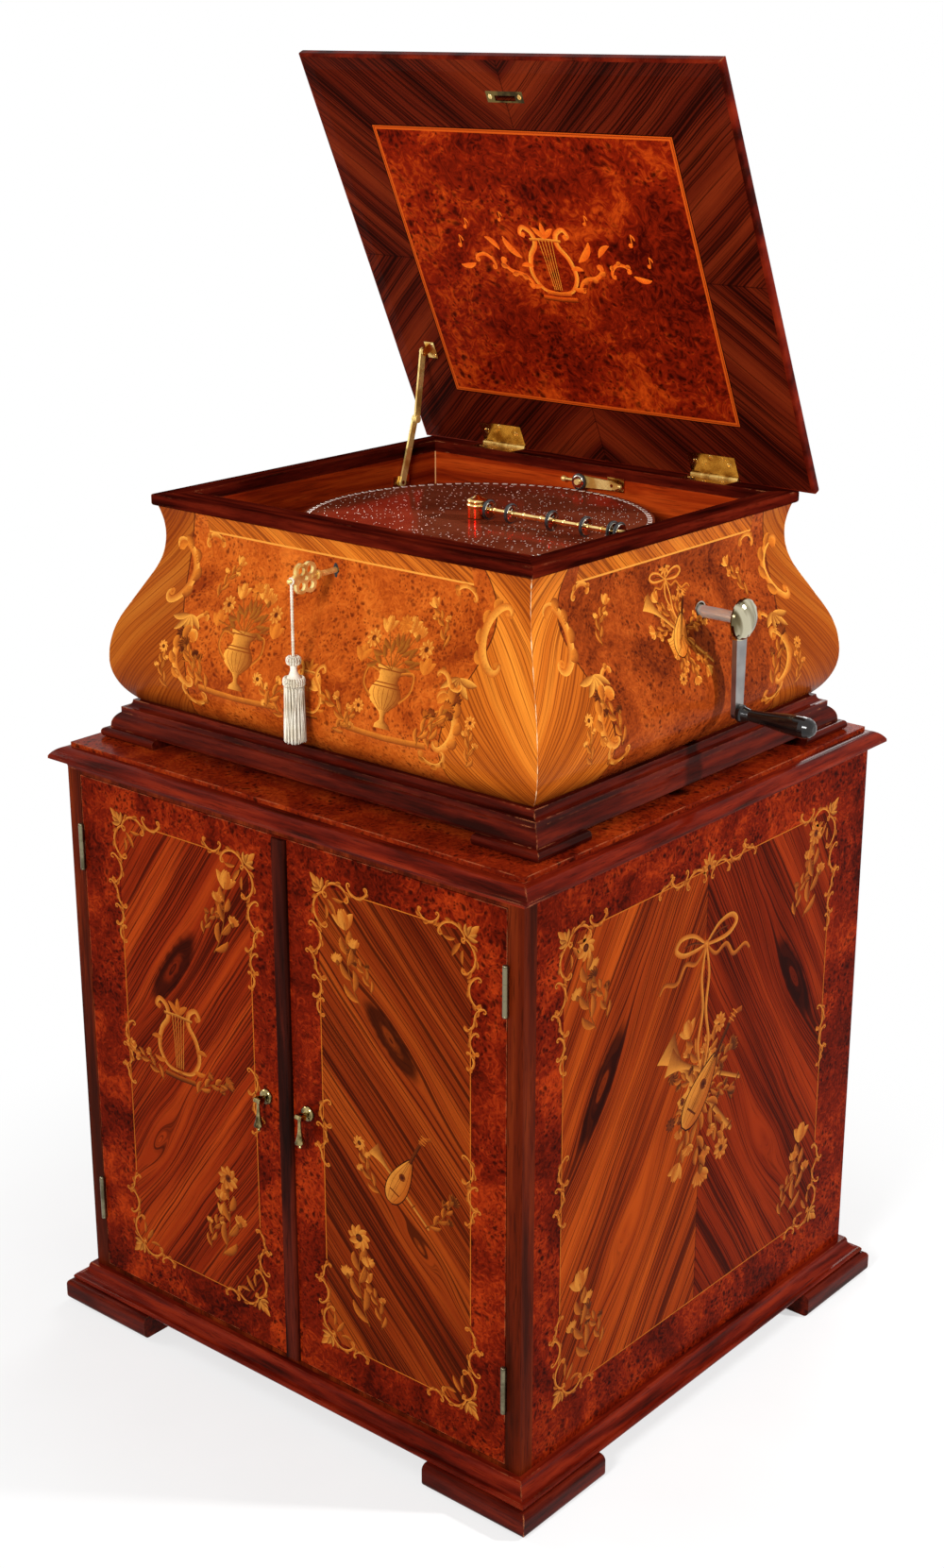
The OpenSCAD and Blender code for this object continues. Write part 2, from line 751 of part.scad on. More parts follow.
// A slender stem that flares to a bell with a small ball under it
module pull_drop(x) {
  stem = 1.8;
  ball = 1.9;
  lip = 0.8 * drop_len;
  color(brass)
    translate([x, front_y - pull_reach, pull_z_abs])
      difference() {
        union() {
          bar_x(-eye_w / 2, eye_w / 2, 0, 0, 3);
          rotate_extrude()
            polygon(concat([[0, 0]],
                           [for (t = [0:0.125:1]) [stem + (drop_r - stem) * pow(t, 3), -t * lip]],
                           [[drop_r - 0.3, -lip - 1.2], [ball * cos(45), ball * (1 + sin(45)) - drop_len]],
                           [for (a = [20:-20:-80]) [ball * cos(a), ball * (1 + sin(a)) - drop_len]],
                           [[0, -drop_len]]));
        }
        bar_x(-eye_w, eye_w, 0, 0, pull_pin_r + run);
      }
}

module left_pull_rosette() {
  pull_rosette(left_pull_x);
}

module left_pull_drop() {
  pull_drop(left_pull_x);
}

module right_pull_rosette() {
  pull_rosette(right_pull_x);
}

module right_pull_drop() {
  pull_drop(right_pull_x);
}

// Music box case

module box_feet() {
  color(mahogany)
    on_box()
      mitred_frame(box_x, box_y, block_outline(box_foot_out, wall_in, cab_top, box_foot_h, box_foot_h / 2 - 0.5),
                   box_foot_len);
}

function box_base_outline() =
  let (z0 = box_base_z0, ledge = case_z0 - box_cove_r, round = [box_base_out - box_base_r, z0 + 2])
  concat([[-wall_in, z0], [box_base_out, z0]], arc(round, box_base_r, 0, 60),
         [[round[0] + box_base_r / 2, ledge]],
         arc([round[0] + box_base_r / 2 - 1.7, case_z0], box_cove_r, 270, 180), [[-wall_in, case_z0]]);

// The base moulding and the board inside it
module box_base() {
  color(mahogany) {
    on_box() mitred_frame(box_x, box_y, box_base_outline());
    block([-well_x + mitre_gap, well_y0 + mitre_gap, case_z0 - board_t],
          [well_x - mitre_gap, well_y1 - mitre_gap, case_z0]);
  }
}

// The wall's outside: a hollow waist, a straight flank, a full belly and a tuck under it
function case_outline() =
  let (rise = waist_h - belly_h,
       swell = belly_out + waist_in,
       radii = (rise * sin(flank_angle) - swell * cos(flank_angle)) / (1 - cos(flank_angle)),
       belly_r = radii - waist_r,
       waist = [waist_r - waist_in, case_z0 + waist_h],
       belly = [belly_out - belly_r, case_z0 + belly_h],
       tuck = [belly_out - tuck_r, case_z0 + belly_h],
       top_angle = asin((case_h - waist_h) / waist_r),
       tuck_angle = asin(belly_h / tuck_r))
  concat([[-wall_in, case_z1]],
         arc(waist, waist_r, 180 - top_angle, 180 + flank_angle, 14),
         arc(belly, belly_r, flank_angle, 0, 8),
         [for (q = arc(tuck, tuck_r, 0, -tuck_angle, 12)) if (q[1] < tuck[1] - 0.01) q],
         [[-wall_in, case_z0]]);

module case_wall(side) {
  on_box() mitred_side(box_x, box_y, side, case_outline());
}

module case_front() {
  color(rosewood)
    difference() {
      case_wall(3);
      bar_y(box_front - belly_out, lock_y1, 0, key_z, key_r + 1.5);
      block([-lock_w / 2 - run, lock_y0 - run, lock_z0], [lock_w / 2 + run, well_y0 + e, case_z1 + e]);
    }
}

module case_right() {
  color(rosewood)
    difference() {
      case_wall(0);
      bar_x(well_x - e, box_x + belly_out, crank_y, crank_z, bush_r);
    }
}

module case_back() {
  color(rosewood) case_wall(1);
}

module case_left() {
  color(rosewood) case_wall(2);
}

function rim_outline() =
  concat([[-rim_w, case_z1]], arc([-rim_under_r, case_z1 + rim_under_r], rim_under_r, -90, 0, 4),
         arc([-rim_round, rim_z1 - rim_round], rim_round, 0, 90, 4), [[-rim_w, rim_z1]]);

// The mitred rim, its wider front ledge, the hinge pockets and the bolt's slot
module rim_frame() {
  color(mahogany)
    difference() {
      union() {
        on_box() mitred_frame(box_x, box_y, rim_outline());
        block([-mouth_x + mitre_gap, box_front + rim_w + mitre_gap, case_z1], [mouth_x - mitre_gap, mouth_y0, rim_z1]);
      }
      for (k = [-1, 1])
        block([k * lid_hinge_x - lid_hinge_len / 2, box_rear - lid_leaf_d, rim_z1 - leaf_t],
              [k * lid_hinge_x + lid_hinge_len / 2, box_rear + e, rim_z1 + e]);
      block([-bolt_w / 2 - clear, bolt_y - bolt_t / 2 - clear, case_z1 - e],
            [bolt_w / 2 + clear, bolt_y + bolt_t / 2 + clear, rim_z1 + e]);
    }
}

module inner_liner() {
  liner_x = mouth_x - mitre_gap;
  color(burl) {
    for (k = [0, 1])
      mirror([k, 0, 0])
        block([mouth_x, well_y0, deck_z1], [well_x, well_y1, case_z1]);
    block([-liner_x, mouth_y0 - liner_t, deck_z1], [liner_x, mouth_y0, case_z1]);
    block([-liner_x, mouth_y1, deck_z1], [liner_x, well_y1, case_z1]);
  }
}

stay_slot_y0 = stay_wall_at[0] - stay_lower - 14;
stay_slot_y1 = stay_wall_at[0] + 14;

// The deck with its openings for the motor and the folded stay, on two battens
module deck_board() {
  color(brown_wood) {
    difference() {
      block([-well_x, well_y0, deck_z0], [well_x, well_y1, deck_z1]);
      block([motor_well_x0, motor_y0 - 6, deck_z0 - e], [mouth_x - 0.5, motor_y1 + 6, deck_z1 + e]);
      block([-well_x - e, stay_slot_y0, deck_z0 - e], [-well_x + stay_slot_w, stay_slot_y1, deck_z1 + e]);
    }
    for (y = [well_y0, well_y1 - batten])
      block([-well_x, y, deck_z0 - mitre_gap - batten], [well_x, y + batten, deck_z0 - mitre_gap]);
  }
}

// Lock, key and tassel

module lock_case() {
  bit_y1 = lock_y0 + 8;
  color(brass) {
    difference() {
      block([-lock_w / 2, lock_y0, lock_z0], [lock_w / 2, lock_y1, lock_z1]);
      bar_y(lock_y0 - e, bit_y1, 0, key_z, key_r + run);
      bar_y(lock_y0 + 2, bit_y1, 0, key_z, bit_r + 0.5);
      block([-bolt_w / 2 - clear, bolt_y - bolt_t / 2 - clear, bolt_z0 - clear],
            [bolt_w / 2 + clear, bolt_y + bolt_t / 2 + clear, lock_z1 + e]);
    }
    translate([0, lock_y0 - 0.1, key_z])
      rotate([90, 0, 0])
        difference() {
          cylinder(h = 4.2, r = key_r + 1.5);
          translate([0, 0, -e]) cylinder(h = 4.2 + 2 * e, r = key_r + run);
        }
  }
}

module lock_bolt() {
  color(steel)
    block([-bolt_w / 2, bolt_y - bolt_t / 2, bolt_z0], [bolt_w / 2, bolt_y + bolt_t / 2, bolt_z1]);
}

// Half the outline of a turned ball
function ball_outline(r) = concat([[0, -r]], [for (a = [-75:15:75]) r * [cos(a), sin(a)]], [[0, r]]);

// A shank with its bit, a collar, an openwork bow of four lobes and an end pin for the cord
module key() {
  lobe_ys = [bow_y + bow_lobe_r * 0.75, bow_y - bow_lobe_r * 0.75];
  color(brass) {
    bar_y(bow_y + bow_lobe_r, lock_y0 + 7, 0, key_z, key_r);
    block([-1.2, lock_y0 + 3, key_z - bit_r], [1.2, lock_y0 + 6.5, key_z]);
    bar_y(bow_y + 2 * bow_lobe_r, bow_y + 2 * bow_lobe_r + 3, 0, key_z, key_r + 2);
    translate([-bow_t / 2, 0, 0])
      rotate([90, 0, 90])
        linear_extrude(height = bow_t)
          difference() {
            union() {
              for (y = lobe_ys, k = [-1, 1])
                translate([y, key_z + k * bow_lobe_r * 0.9]) circle(r = bow_lobe_r);
              translate([bow_y - bow_lobe_r * 1.6, key_z]) circle(r = bow_lobe_r * 0.6);
              translate([bow_y + bow_lobe_r * 1.6, key_z]) circle(r = bow_lobe_r * 0.6);
            }
            for (y = lobe_ys, k = [-1, 1])
              translate([y, key_z + k * bow_lobe_r * 0.95]) circle(r = bow_lobe_r * 0.55);
            translate([bow_y, key_z]) circle(r = bow_lobe_r * 0.3);
          }
    bar_y(pin_tip_y, bow_y - bow_lobe_r * 1.6, 0, key_z, pin_r);
    translate([0, pin_tip_y, key_z])
      rotate([90, 0, 0])
        rotate_extrude()
          polygon(ball_outline(pin_r + 1.2));
  }
}

// A loop round the key's end pin and the straight cord below it
module tassel_cord() {
  color(cream)
    translate([0, cord_y, key_z]) {
      rotate([90, 0, 0])
        rotate_extrude()
          translate([cord_loop_r, 0]) circle(r = cord_r * 0.7, $fn = 24);
      translate([0, 0, -cord_len]) cylinder(h = cord_len - cord_loop_r, r = cord_r);
    }
}

// A head with a ruff at each end and a waist between, over a fluted skirt
module tassel() {
  neck = tassel_collar_r - 1.2;
  folds = [for (i = [0:2 * tassel_folds - 1])
             (i % 2 == 0 ? neck : neck - 0.8) * [cos(180 * i / tassel_folds), sin(180 * i / tassel_folds)]];
  color(cream)
    translate([0, cord_y, tassel_z1]) {
      rotate_extrude()
        polygon(concat([[0, 0], [tassel_ruff_r - 2, 0]],
                       arc([tassel_ruff_r - 3, -4], 3, 60, -60, 4),
                       [[4.9, -10], [4.7, -13], [5.6, -17], [7, -tassel_head_l + 11.5]],
                       arc([tassel_collar_r - 4.2, -tassel_head_l + 5.6], 4.2, 60, -60, 5),
                       [[neck, -tassel_head_l], [0, -tassel_head_l]]));
      translate([0, 0, -tassel_head_l - mitre_gap])
        mirror([0, 0, 1])
          linear_extrude(height = tassel_skirt_l, scale = tassel_r / neck)
            polygon(folds);
    }
}

// Lid, modelled shut and then swung open on its hinge axis

module lid_swing() {
  translate([0, lid_y, lid_z]) rotate([-lid_open, 0, 0]) translate([0, -lid_y, -lid_z]) children();
}

// Recesses for the leaves, and grooves that clear the barrels as the lid swings
module lid_leaf_pockets() {
  barrel_room = lid_hinge_r + 2 * clear;
  for (k = [-1, 1]) {
    block([k * lid_hinge_x - lid_hinge_len / 2, lid_leaf_y - lid_leaf_d, lid_z0 - e],
          [k * lid_hinge_x + lid_hinge_len / 2, lid_leaf_y + e, lid_z0 + leaf_t]);
    block([k * lid_hinge_x - lid_hinge_len / 2 - clear, lid_y - barrel_room, lid_z0 - e],
          [k * lid_hinge_x + lid_hinge_len / 2 + clear, lid_y1 + e, lid_z + barrel_room]);
  }
}

function lid_outline() =
  concat([[-lid_edge_w, lid_z0]], arc([-lid_round_low, lid_z0 + lid_round_low], lid_round_low, -90, 0, 4),
         arc([-lid_round_top, lid_z0 + lid_t - lid_round_top], lid_round_top, 0, 90, 6),
         [[-lid_edge_w, lid_z0 + lid_t]]);

module lid_edge() {
  color(mahogany)
    lid_swing()
      difference() {
        translate([0, lid_mid_y, 0]) mitred_frame(lid_w / 2, lid_d / 2, lid_outline());
        lid_leaf_pockets();
      }
}

strike_l = 50;
strike_w = 13;
strike_y = bolt_y - 1.5;
slot_l = bolt_w + 4;

module strike_slot(depth) {
  block([-slot_l / 2, bolt_y - bolt_t / 2 - 1.5, lid_z0 - e], [slot_l / 2, bolt_y + bolt_t / 2 + 1.5, lid_z0 + depth]);
}

module lid_board() {
  board_x = lid_w / 2 - lid_edge_w - mitre_gap;
  board_y = lid_d / 2 - lid_edge_w - mitre_gap;
  color(rosewood)
    lid_swing()
      difference() {
        block([-board_x, lid_mid_y - board_y, lid_z0], [board_x, lid_mid_y + board_y, lid_z0 + lid_t]);
        lid_leaf_pockets();
        block([-strike_l / 2, strike_y - strike_w / 2, lid_z0 - e],
              [strike_l / 2, strike_y + strike_w / 2, lid_z0 + leaf_t]);
        strike_slot(bolt_lift + 1);
      }
}

module strike_plate() {
  color(brass)
    lid_swing()
      difference() {
        block([-strike_l / 2, strike_y - strike_w / 2, lid_z0], [strike_l / 2, strike_y + strike_w / 2, lid_z0 + leaf_t]);
        strike_slot(leaf_t + e);
      }
}

lid_knuckle = lid_hinge_len / 5;

// Leaf and knuckles of one lid hinge, with the leaf's faces at z0 and z0 + leaf_t
module lid_hinge_half(x, y1, z0, spans) {
  block([x - lid_hinge_len / 2, y1 - lid_leaf_d, z0], [x + lid_hinge_len / 2, y1, z0 + leaf_t]);
  for (s = spans)
    difference() {
      union() {
        bar_x(x + s[0] * lid_knuckle + 0.15, x + s[1] * lid_knuckle - 0.15, lid_y, lid_z, lid_hinge_r);
        block([x + s[0] * lid_knuckle + 0.15, y1 - e, z0], [x + s[1] * lid_knuckle - 0.15, lid_y, z0 + leaf_t]);
      }
      bar_x(x - lid_hinge_len, x + lid_hinge_len, lid_y, lid_z, lid_pin_r + run);
    }
}

module lid_hinge_fixed() {
  color(brass)
    for (k = [-1, 1]) {
      lid_hinge_half(k * lid_hinge_x, box_rear, rim_z1 - leaf_t, [[-2.5, -1.5], [-0.5, 0.5], [1.5, 2.5]]);
      bar_x(k * lid_hinge_x - lid_hinge_len / 2, k * lid_hinge_x + lid_hinge_len / 2, lid_y, lid_z, lid_pin_r);
    }
}

module lid_hinge_moving() {
  color(brass)
    lid_swing()
      for (k = [-1, 1])
        lid_hinge_half(k * lid_hinge_x, lid_leaf_y, lid_z0, [[-1.5, -0.5], [0.5, 1.5]]);
}

// Lid stay: two flat links in neighbouring planes

module stay_link(x0, from, to, hole) {
  run_dir = to - from;
  translate([x0, from[0], from[1]])
    rotate([atan2(run_dir[1], run_dir[0]), 0, 0])
      rotate([90, 0, 90])
        linear_extrude(height = link_t)
          difference() {
            union() {
              translate([0, -link_w / 2]) square([norm(run_dir), link_w]);
              circle(d = link_w + 1);
              translate([norm(run_dir), 0]) circle(d = link_w + 1);
            }
            circle(r = hole);
          }
}

module stay_lower_link() {
  color(brass) stay_link(lower_x0, stay_wall_at, stay_elbow, stay_pin_r + run);
}

module stay_upper_link() {
  color(brass) {
    stay_link(upper_x0, stay_lid_at, stay_elbow, stay_pin_r + run);
    bar_x(upper_x0 + link_t, upper_x0 + link_t + 1.6, stay_elbow[0], stay_elbow[1], link_w / 2);
  }
}

module stay_lid_bracket() {
  q = stay_lid_shut;
  ear_t = 2.5;
  color(brass)
    lid_swing() {
      block([ear_x0, q[0] - 11, lid_z0 - 2], [ear_x0 + 15, q[0] + 11, lid_z0]);
      block([ear_x0, q[0] - 5, q[1]], [ear_x0 + ear_t, q[0] + 5, lid_z0 - 2]);
      bar_x(ear_x0, ear_x0 + ear_t, q[0], q[1], 5);
      bar_x(upper_x0, ear_x0 + 0.1, q[0], q[1], stay_pin_r);
    }
}

// Wall brackets of the stay, the pressure bar and the edge roller, with their pins
module wall_brackets() {
  q = stay_wall_at;
  plate_x = -mouth_x + stay_plate_t;
  ear_in = bar_eye_w / 2 + clear;
  color(brass) {
    block([-mouth_x, q[0] - 14, q[1] - 8], [plate_x, q[0] + 14, q[1] + 8]);
    bar_x(plate_x - 0.5, lower_x0 + link_t, q[0], q[1], stay_pin_r);
    block([mouth_x - 3, disc_y - 17, bar_z - 25], [mouth_x, disc_y + 17, bar_z + 9]);
    for (k = [-1, 1])
      block([bar_pivot_x - 7, disc_y + k * (ear_in + 1.5) - 1.5, bar_z - 7],
            [mouth_x - 2, disc_y + k * (ear_in + 1.5) + 1.5, bar_z + 7]);
    bar_y(disc_y - ear_in - 3, disc_y + ear_in + 3, bar_pivot_x, bar_z, bar_pin_r);
    block([edge_pivot_x - 12, mouth_y1 - 2, edge_z - 8], [edge_pivot_x + 12, mouth_y1, edge_z + 8]);
    bar_y(edge_roller_y + roller_w / 2 + clear + 1, mouth_y1 - 1, edge_pivot_x, edge_z, 2);
  }
}

// Winding crank

module crank_bush() {
  color(steel)
    difference() {
      bar_x(well_x - 4, bush_x1, crank_y, crank_z, bush_r);
      bar_x(well_x - 6, bush_x1 + e, crank_y, crank_z, crank_r + run);
      bar_x(bush_x1 - bush_sink, bush_x1 + e, crank_y, crank_z, bush_r - 1.5);
    }
}

module crank_shaft() {
  color(steel) bar_x(left_plate_x - 4, hub_x + crank_arm_t, crank_y, crank_z, crank_r);
}

// A tapering flat arm with a sleeve on the shaft, a domed cap over the hub and the grip's spindle
module crank_arm() {
  cap_h = crank_cap_h;
  end_r = crank_end_r;
  top_r = crank_arm_r;
  sleeve_x0 = bush_x1 - bush_sink + 2;
  color(steel)
    difference() {
      union() {
        translate([hub_x, crank_y, crank_z])
          rotate([90, 0, 90])
            linear_extrude(height = crank_arm_t) {
              circle(r = top_r);
              translate([0, -crank_throw]) circle(r = end_r);
              polygon([[-top_r, 0], [top_r, 0], [end_r, -crank_throw], [-end_r, -crank_throw]]);
            }
        translate([hub_x + crank_arm_t - 1, crank_y, crank_z])
          rotate([0, 90, 0])
            rotate_extrude()
              polygon(concat([[0, 0], [crank_cap_r, 0], [crank_cap_r, 1.5]],
                             [for (a = [15:15:75]) [crank_cap_r * cos(a), 1.5 + cap_h * sin(a)]],
                             [[0, 1.5 + cap_h]]));
        bar_x(sleeve_x0, hub_x + e, crank_y, crank_z, crank_sleeve_r);
        bar_x(hub_x + crank_arm_t - 1, grip_x0 + grip_len - 8, crank_y, grip_z, grip_pin_r);
      }
      bar_x(sleeve_x0 - e, hub_x + crank_arm_t, crank_y, crank_z, crank_r);
    }
}

// A turned grip with a flange, a slim neck and a swelling round end
module crank_grip() {
  color(ebony)
    translate([grip_x0, crank_y, grip_z])
      rotate([0, 90, 0])
        difference() {
          rotate_extrude()
            polygon(concat([[0, 0], [grip_flange_r - 0.8, 0], [grip_flange_r, 1.2], [grip_flange_r, 4.5],
                            [grip_flange_r - 1.2, 6.5]],
                           [for (t = [0:0.125:1])
                              [grip_neck_r + (grip_r - grip_neck_r) * (1 - cos(180 * t)) / 2,
                               14 + t * (grip_len - 28)]],
                           [for (a = [22.5:22.5:67.5]) [4 + (grip_r - 4) * cos(a), grip_len - 14 + 14 * sin(a)]],
                           [[4, grip_len], [0, grip_len]]));
          translate([0, 0, -e]) cylinder(h = grip_len - 7 + e, r = grip_pin_r + run);
        }
}

// Bedplate, combs and star wheels under the disc

module bedplate() {
  r = bed_round;
  x0 = -bed_left;
  half = bed_d / 2;
  color(iron)
    translate([0, disc_y, deck_z1])
      linear_extrude(height = bedplate_t)
        polygon(concat(arc([x0 + r, r - half], r, 180, 270), arc([bed_x1 - r, r - half], r, 270, 360),
                       arc([bed_x1 - r, half - r], r, 0, 90), arc([x0 + r, half - r], r, 90, 180)));
}

// The disc's spindle, and the bearing blocks and axle of the star wheels
module star_gantry() {
  x1 = star_x0 + (star_n - 1) * star_pitch;
  color(steel) {
    translate([0, disc_y, bed_z1]) cylinder(h = disc_z0 - clear - bed_z1, r = hub_r);
    translate([0, disc_y, disc_z0 - clear]) cylinder(h = bar_z - 1 - disc_z0 + clear, r = spindle_r);
    for (x = [star_x0 - 8, x1 + 4])
      block([x, disc_y - 6, bed_z1], [x + 4, disc_y + 6, star_z + 4]);
    bar_x(star_x0 - 5, x1 + 5, disc_y, star_z, star_axle_r);
  }
}

module star_wheels() {
  points = 8;
  color(steel)
    for (i = [0:star_n - 1])
      translate([star_x0 + i * star_pitch - 0.6, disc_y, star_z])
        rotate([90, 0, 90])
          linear_extrude(height = 1.2)
            difference() {
              polygon([for (j = [0:2 * points - 1])
                         (j % 2 == 0 ? star_r : 0.62 * star_r) * [cos(180 * j / points), sin(180 * j / points)]]);
              circle(r = star_axle_r + run, $fn = 24);
            }
}

// Two combs that face each other across the star wheels, their teeth longer towards the bass
module combs() {
  comb_t = 2;
  tip = star_r + 0.5;
  foot_d = 26;
  x0 = star_x0 - star_pitch / 2;
  comb_w = star_n * star_pitch;
  color(steel)
    for (k = [0, 1])
      translate([0, disc_y, 0])
        mirror([0, k, 0]) {
          translate([x0, tip, star_z - comb_t / 2])
            linear_extrude(height = comb_t)
              difference() {
                square([comb_w, comb_d]);
                for (i = [1:star_n - 1])
                  translate([i * star_pitch - 0.5, -e])
                    square([1, 18 + 14 * i / star_n + e]);
              }
          block([x0, tip + comb_d - foot_d, bed_z1], [x0 + comb_w, tip + comb_d, star_z - comb_t / 2 - 0.02]);
        }
}

module music_disc() {
  color(steel)
    translate([0, disc_y, disc_z0])
      linear_extrude(height = disc_t)
        difference() {
          circle(r = disc_r, $fn = 180);
          circle(r = spindle_r + 0.08);
          for (i = [0:drive_n - 1])
            rotate(360 * i / drive_n) translate([drive_r, 0]) square([3.4, 5.4], center = true);
        }
}

// Drive train between the motor's plates

pressure_angle = 25;

function involute(c) = let (a = acos(c)) tan(a) - a * PI / 180;

// Half the angle of a tooth at radius r
function tooth_half(n, r) =
  let (pitch_r = module_mm * n / 2, base_r = pitch_r * cos(pressure_angle))
  90 / n - 0.16 * 180 / (PI * pitch_r)
  + (involute(cos(pressure_angle)) - involute(min(1, base_r / r))) * 180 / PI;

module gear(n, phase) {
  pitch_r = module_mm * n / 2;
  root_r = pitch_r - 1.1 * module_mm;
  flank = [max(root_r + 0.2, pitch_r * cos(pressure_angle)), pitch_r, pitch_r + 0.8 * module_mm];
  side = [for (r = flank) [r, tooth_half(n, r)]];
  half = concat([[root_r, side[0][1]]], side);
  linear_extrude(height = gear_w)
    polygon([for (i = [0:n - 1], k = [0:7])
               let (q = k < 4 ? half[k] : half[7 - k], a = phase + 360 * i / n + (k < 4 ? -q[1] : q[1]))
               q[0] * [cos(a), sin(a)]]);
}

// The phase of gear b that meshes with gear a, whose tooth is at phase_a, in direction dir
function mesh_phase(n_a, phase_a, n_b, dir) = dir + 180 - (180 - n_a * (dir - phase_a)) / n_b;

module along_x(x, y, z) {
  translate([x, y, z]) rotate([90, 0, 90]) children();
}

// The sprocket and its pinion on one shaft
module drive_sprocket() {
  tip_r = sprocket_r + 1.6;
  root_r = sprocket_r - 3.3;
  color(steel) {
    along_x(drive_r - sprocket_w / 2, disc_y, sprocket_z)
      linear_extrude(height = sprocket_w) {
        circle(r = root_r);
        for (i = [0:sprocket_n - 1])
          rotate(90 + 360 * i / sprocket_n)
            polygon([[root_r - 1, -2], [root_r, -2], [tip_r, -0.8], [tip_r, 0.8], [root_r, 2], [root_r - 1, 2]]);
      }
    bar_x(drive_r - 4, right_plate_x + plate_t, disc_y, sprocket_z, sprocket_shaft_r);
    bar_x(drive_r - 3, mid_plate_x - 1, disc_y, sprocket_z, 8);
    along_x(gear_x, disc_y, sprocket_z)
      gear(pinion_n, mesh_phase(great_n, mesh_angle, pinion_n, mesh_angle));
  }
}

// The spring barrel and its great wheel on one sleeve
module spring_barrel() {
  color(brass)
    difference() {
      union() {
        bar_x(barrel_x0, barrel_x0 + barrel_len, crank_y, crank_z, barrel_r);
        bar_x(barrel_x0 + barrel_len - e, gear_x + gear_w + 3, crank_y, crank_z, sleeve_r);
        along_x(gear_x, crank_y, crank_z) gear(great_n, mesh_angle);
      }
      bar_x(barrel_x0 - e, gear_x + gear_w + 5, crank_y, crank_z, crank_r + run);
    }
}

// The governor's shaft, pinion and air vanes
module governor() {
  vane_x0 = barrel_x0 + 8;
  vane_x1 = barrel_x0 + barrel_len - 8;
  color(brass) {
    bar_x(left_plate_x, right_plate_x + plate_t, crank_y, governor_z, governor_r);
    along_x(gear_x, crank_y, governor_z)
      gear(governor_n, mesh_phase(great_n, mesh_angle, governor_n, -90));
    block([vane_x0, crank_y - vane_r, governor_z - 0.8], [vane_x1, crank_y + vane_r, governor_z + 0.8]);
    bar_x(vane_x0 - 3, vane_x1 + 3, crank_y, governor_z, governor_r + 2);
  }
}

// Three plates on pillars, standing on the case's bottom board
module motor_frame() {
  pillar_r = 5;
  pillar_z = case_z0 + 12;
  inset = 12;
  color(iron)
    difference() {
      union() {
        block([left_plate_x, motor_y0, case_z0], [left_plate_x + plate_t, motor_y1, deck_z0 - 0.5]);
        for (x = [mid_plate_x, right_plate_x])
          block([x, motor_y0, case_z0], [x + plate_t, motor_y1, sprocket_z + 14]);
        for (y = [motor_y0 + inset, motor_y1 - inset], z = [pillar_z, deck_z0 - 14])
          bar_x(left_plate_x, right_plate_x + plate_t, y, z, pillar_r);
      }
      bar_x(left_plate_x - e, right_plate_x + 2 * plate_t, crank_y, crank_z, crank_r + run);
      bar_x(mid_plate_x - e, mid_plate_x + plate_t + e, crank_y, crank_z, sleeve_r + run);
      bar_x(left_plate_x - e, right_plate_x + 2 * plate_t, crank_y, governor_z, governor_r + run);
      bar_x(mid_plate_x - e, right_plate_x + 2 * plate_t, disc_y, sprocket_z, sprocket_shaft_r + run);
    }
}

// Pressure bar and edge roller over the disc

// A tube from the hub on the spindle to the hinge eye by the wall
module pressure_bar() {
  color(brass)
    difference() {
      union() {
        translate([0, disc_y, disc_z1 + 1]) cylinder(h = bar_z + 6 - disc_z1 - 1, r = hub_r);
        bar_x(hub_r - 2, bar_pivot_x - 2, disc_y, bar_z, bar_r);
        bar_y(disc_y - bar_eye_w / 2, disc_y + bar_eye_w / 2, bar_pivot_x, bar_z, bar_eye_r);
      }
      translate([0, disc_y, disc_z1 + 1 - e]) cylinder(h = bar_z + 1 - disc_z1 - 1 + e, r = spindle_r + 0.8);
      bar_y(disc_y - bar_eye_w, disc_y + bar_eye_w, bar_pivot_x, bar_z, bar_pin_r + run);
    }
}

// The profile of a roller: a rubber tyre between two narrower rims
module roller(r, bore) {
  rotate_extrude()
    polygon([[bore, 0], [r - 1.4, 0], [r - 1.4, 0.6], [r, 1], [r, roller_w - 1],
             [r - 1.4, roller_w - 0.6], [r - 1.4, roller_w], [bore, roller_w]]);
}

module bar_rollers() {
  color(ebony)
    for (x = roller_xs)
      translate([x - roller_w / 2, disc_y, bar_z]) rotate([0, 90, 0]) roller(roller_r, bar_r + run);
}

// A turned ball on an axis along X
module ball_x(x, y, z, r) {
  translate([x, y, z])
    rotate([0, 90, 0])
      rotate_extrude()
        polygon(ball_outline(r));
}

// A tapering lever on the back wall that holds the roller on the disc's edge, with a lifting knob
module edge_arm() {
  y0 = edge_roller_y + roller_w / 2 + clear;
  tail_x = edge_pivot_x + 11;
  color(brass)
    difference() {
      union() {
        translate([0, y0 + 4, edge_z])
          rotate([90, 0, 0])
            linear_extrude(height = 3)
              polygon([[edge_x, -7], [edge_pivot_x, -5], [tail_x, -1.5], [tail_x, 1.5], [edge_pivot_x, 5], [edge_x, 7]]);
        bar_y(y0 + 1, y0 + 4, edge_x, edge_z, 7);
        ball_x(tail_x, y0 + 2.5, edge_z, 2.8);
        bar_y(y0 - roller_w - clear - 2, y0 + 1.5, edge_x, edge_z, 2);
        bar_y(y0 - roller_w - clear - 3, y0 - roller_w - clear, edge_x, edge_z, 3.4);
        bar_x(edge_knob_x, edge_x, y0 + 2.5, edge_z, 1.4);
        ball_x(edge_knob_x, y0 + 2.5, edge_z, 3.5);
      }
      bar_y(y0 - e, y0 + 4 + e, edge_pivot_x, edge_z, 2 + run);
    }
}

module edge_roller() {
  color(ebony)
    translate([edge_x, edge_roller_y + roller_w / 2, edge_z]) rotate([90, 0, 0]) roller(edge_roller_r, 2 + run);
}

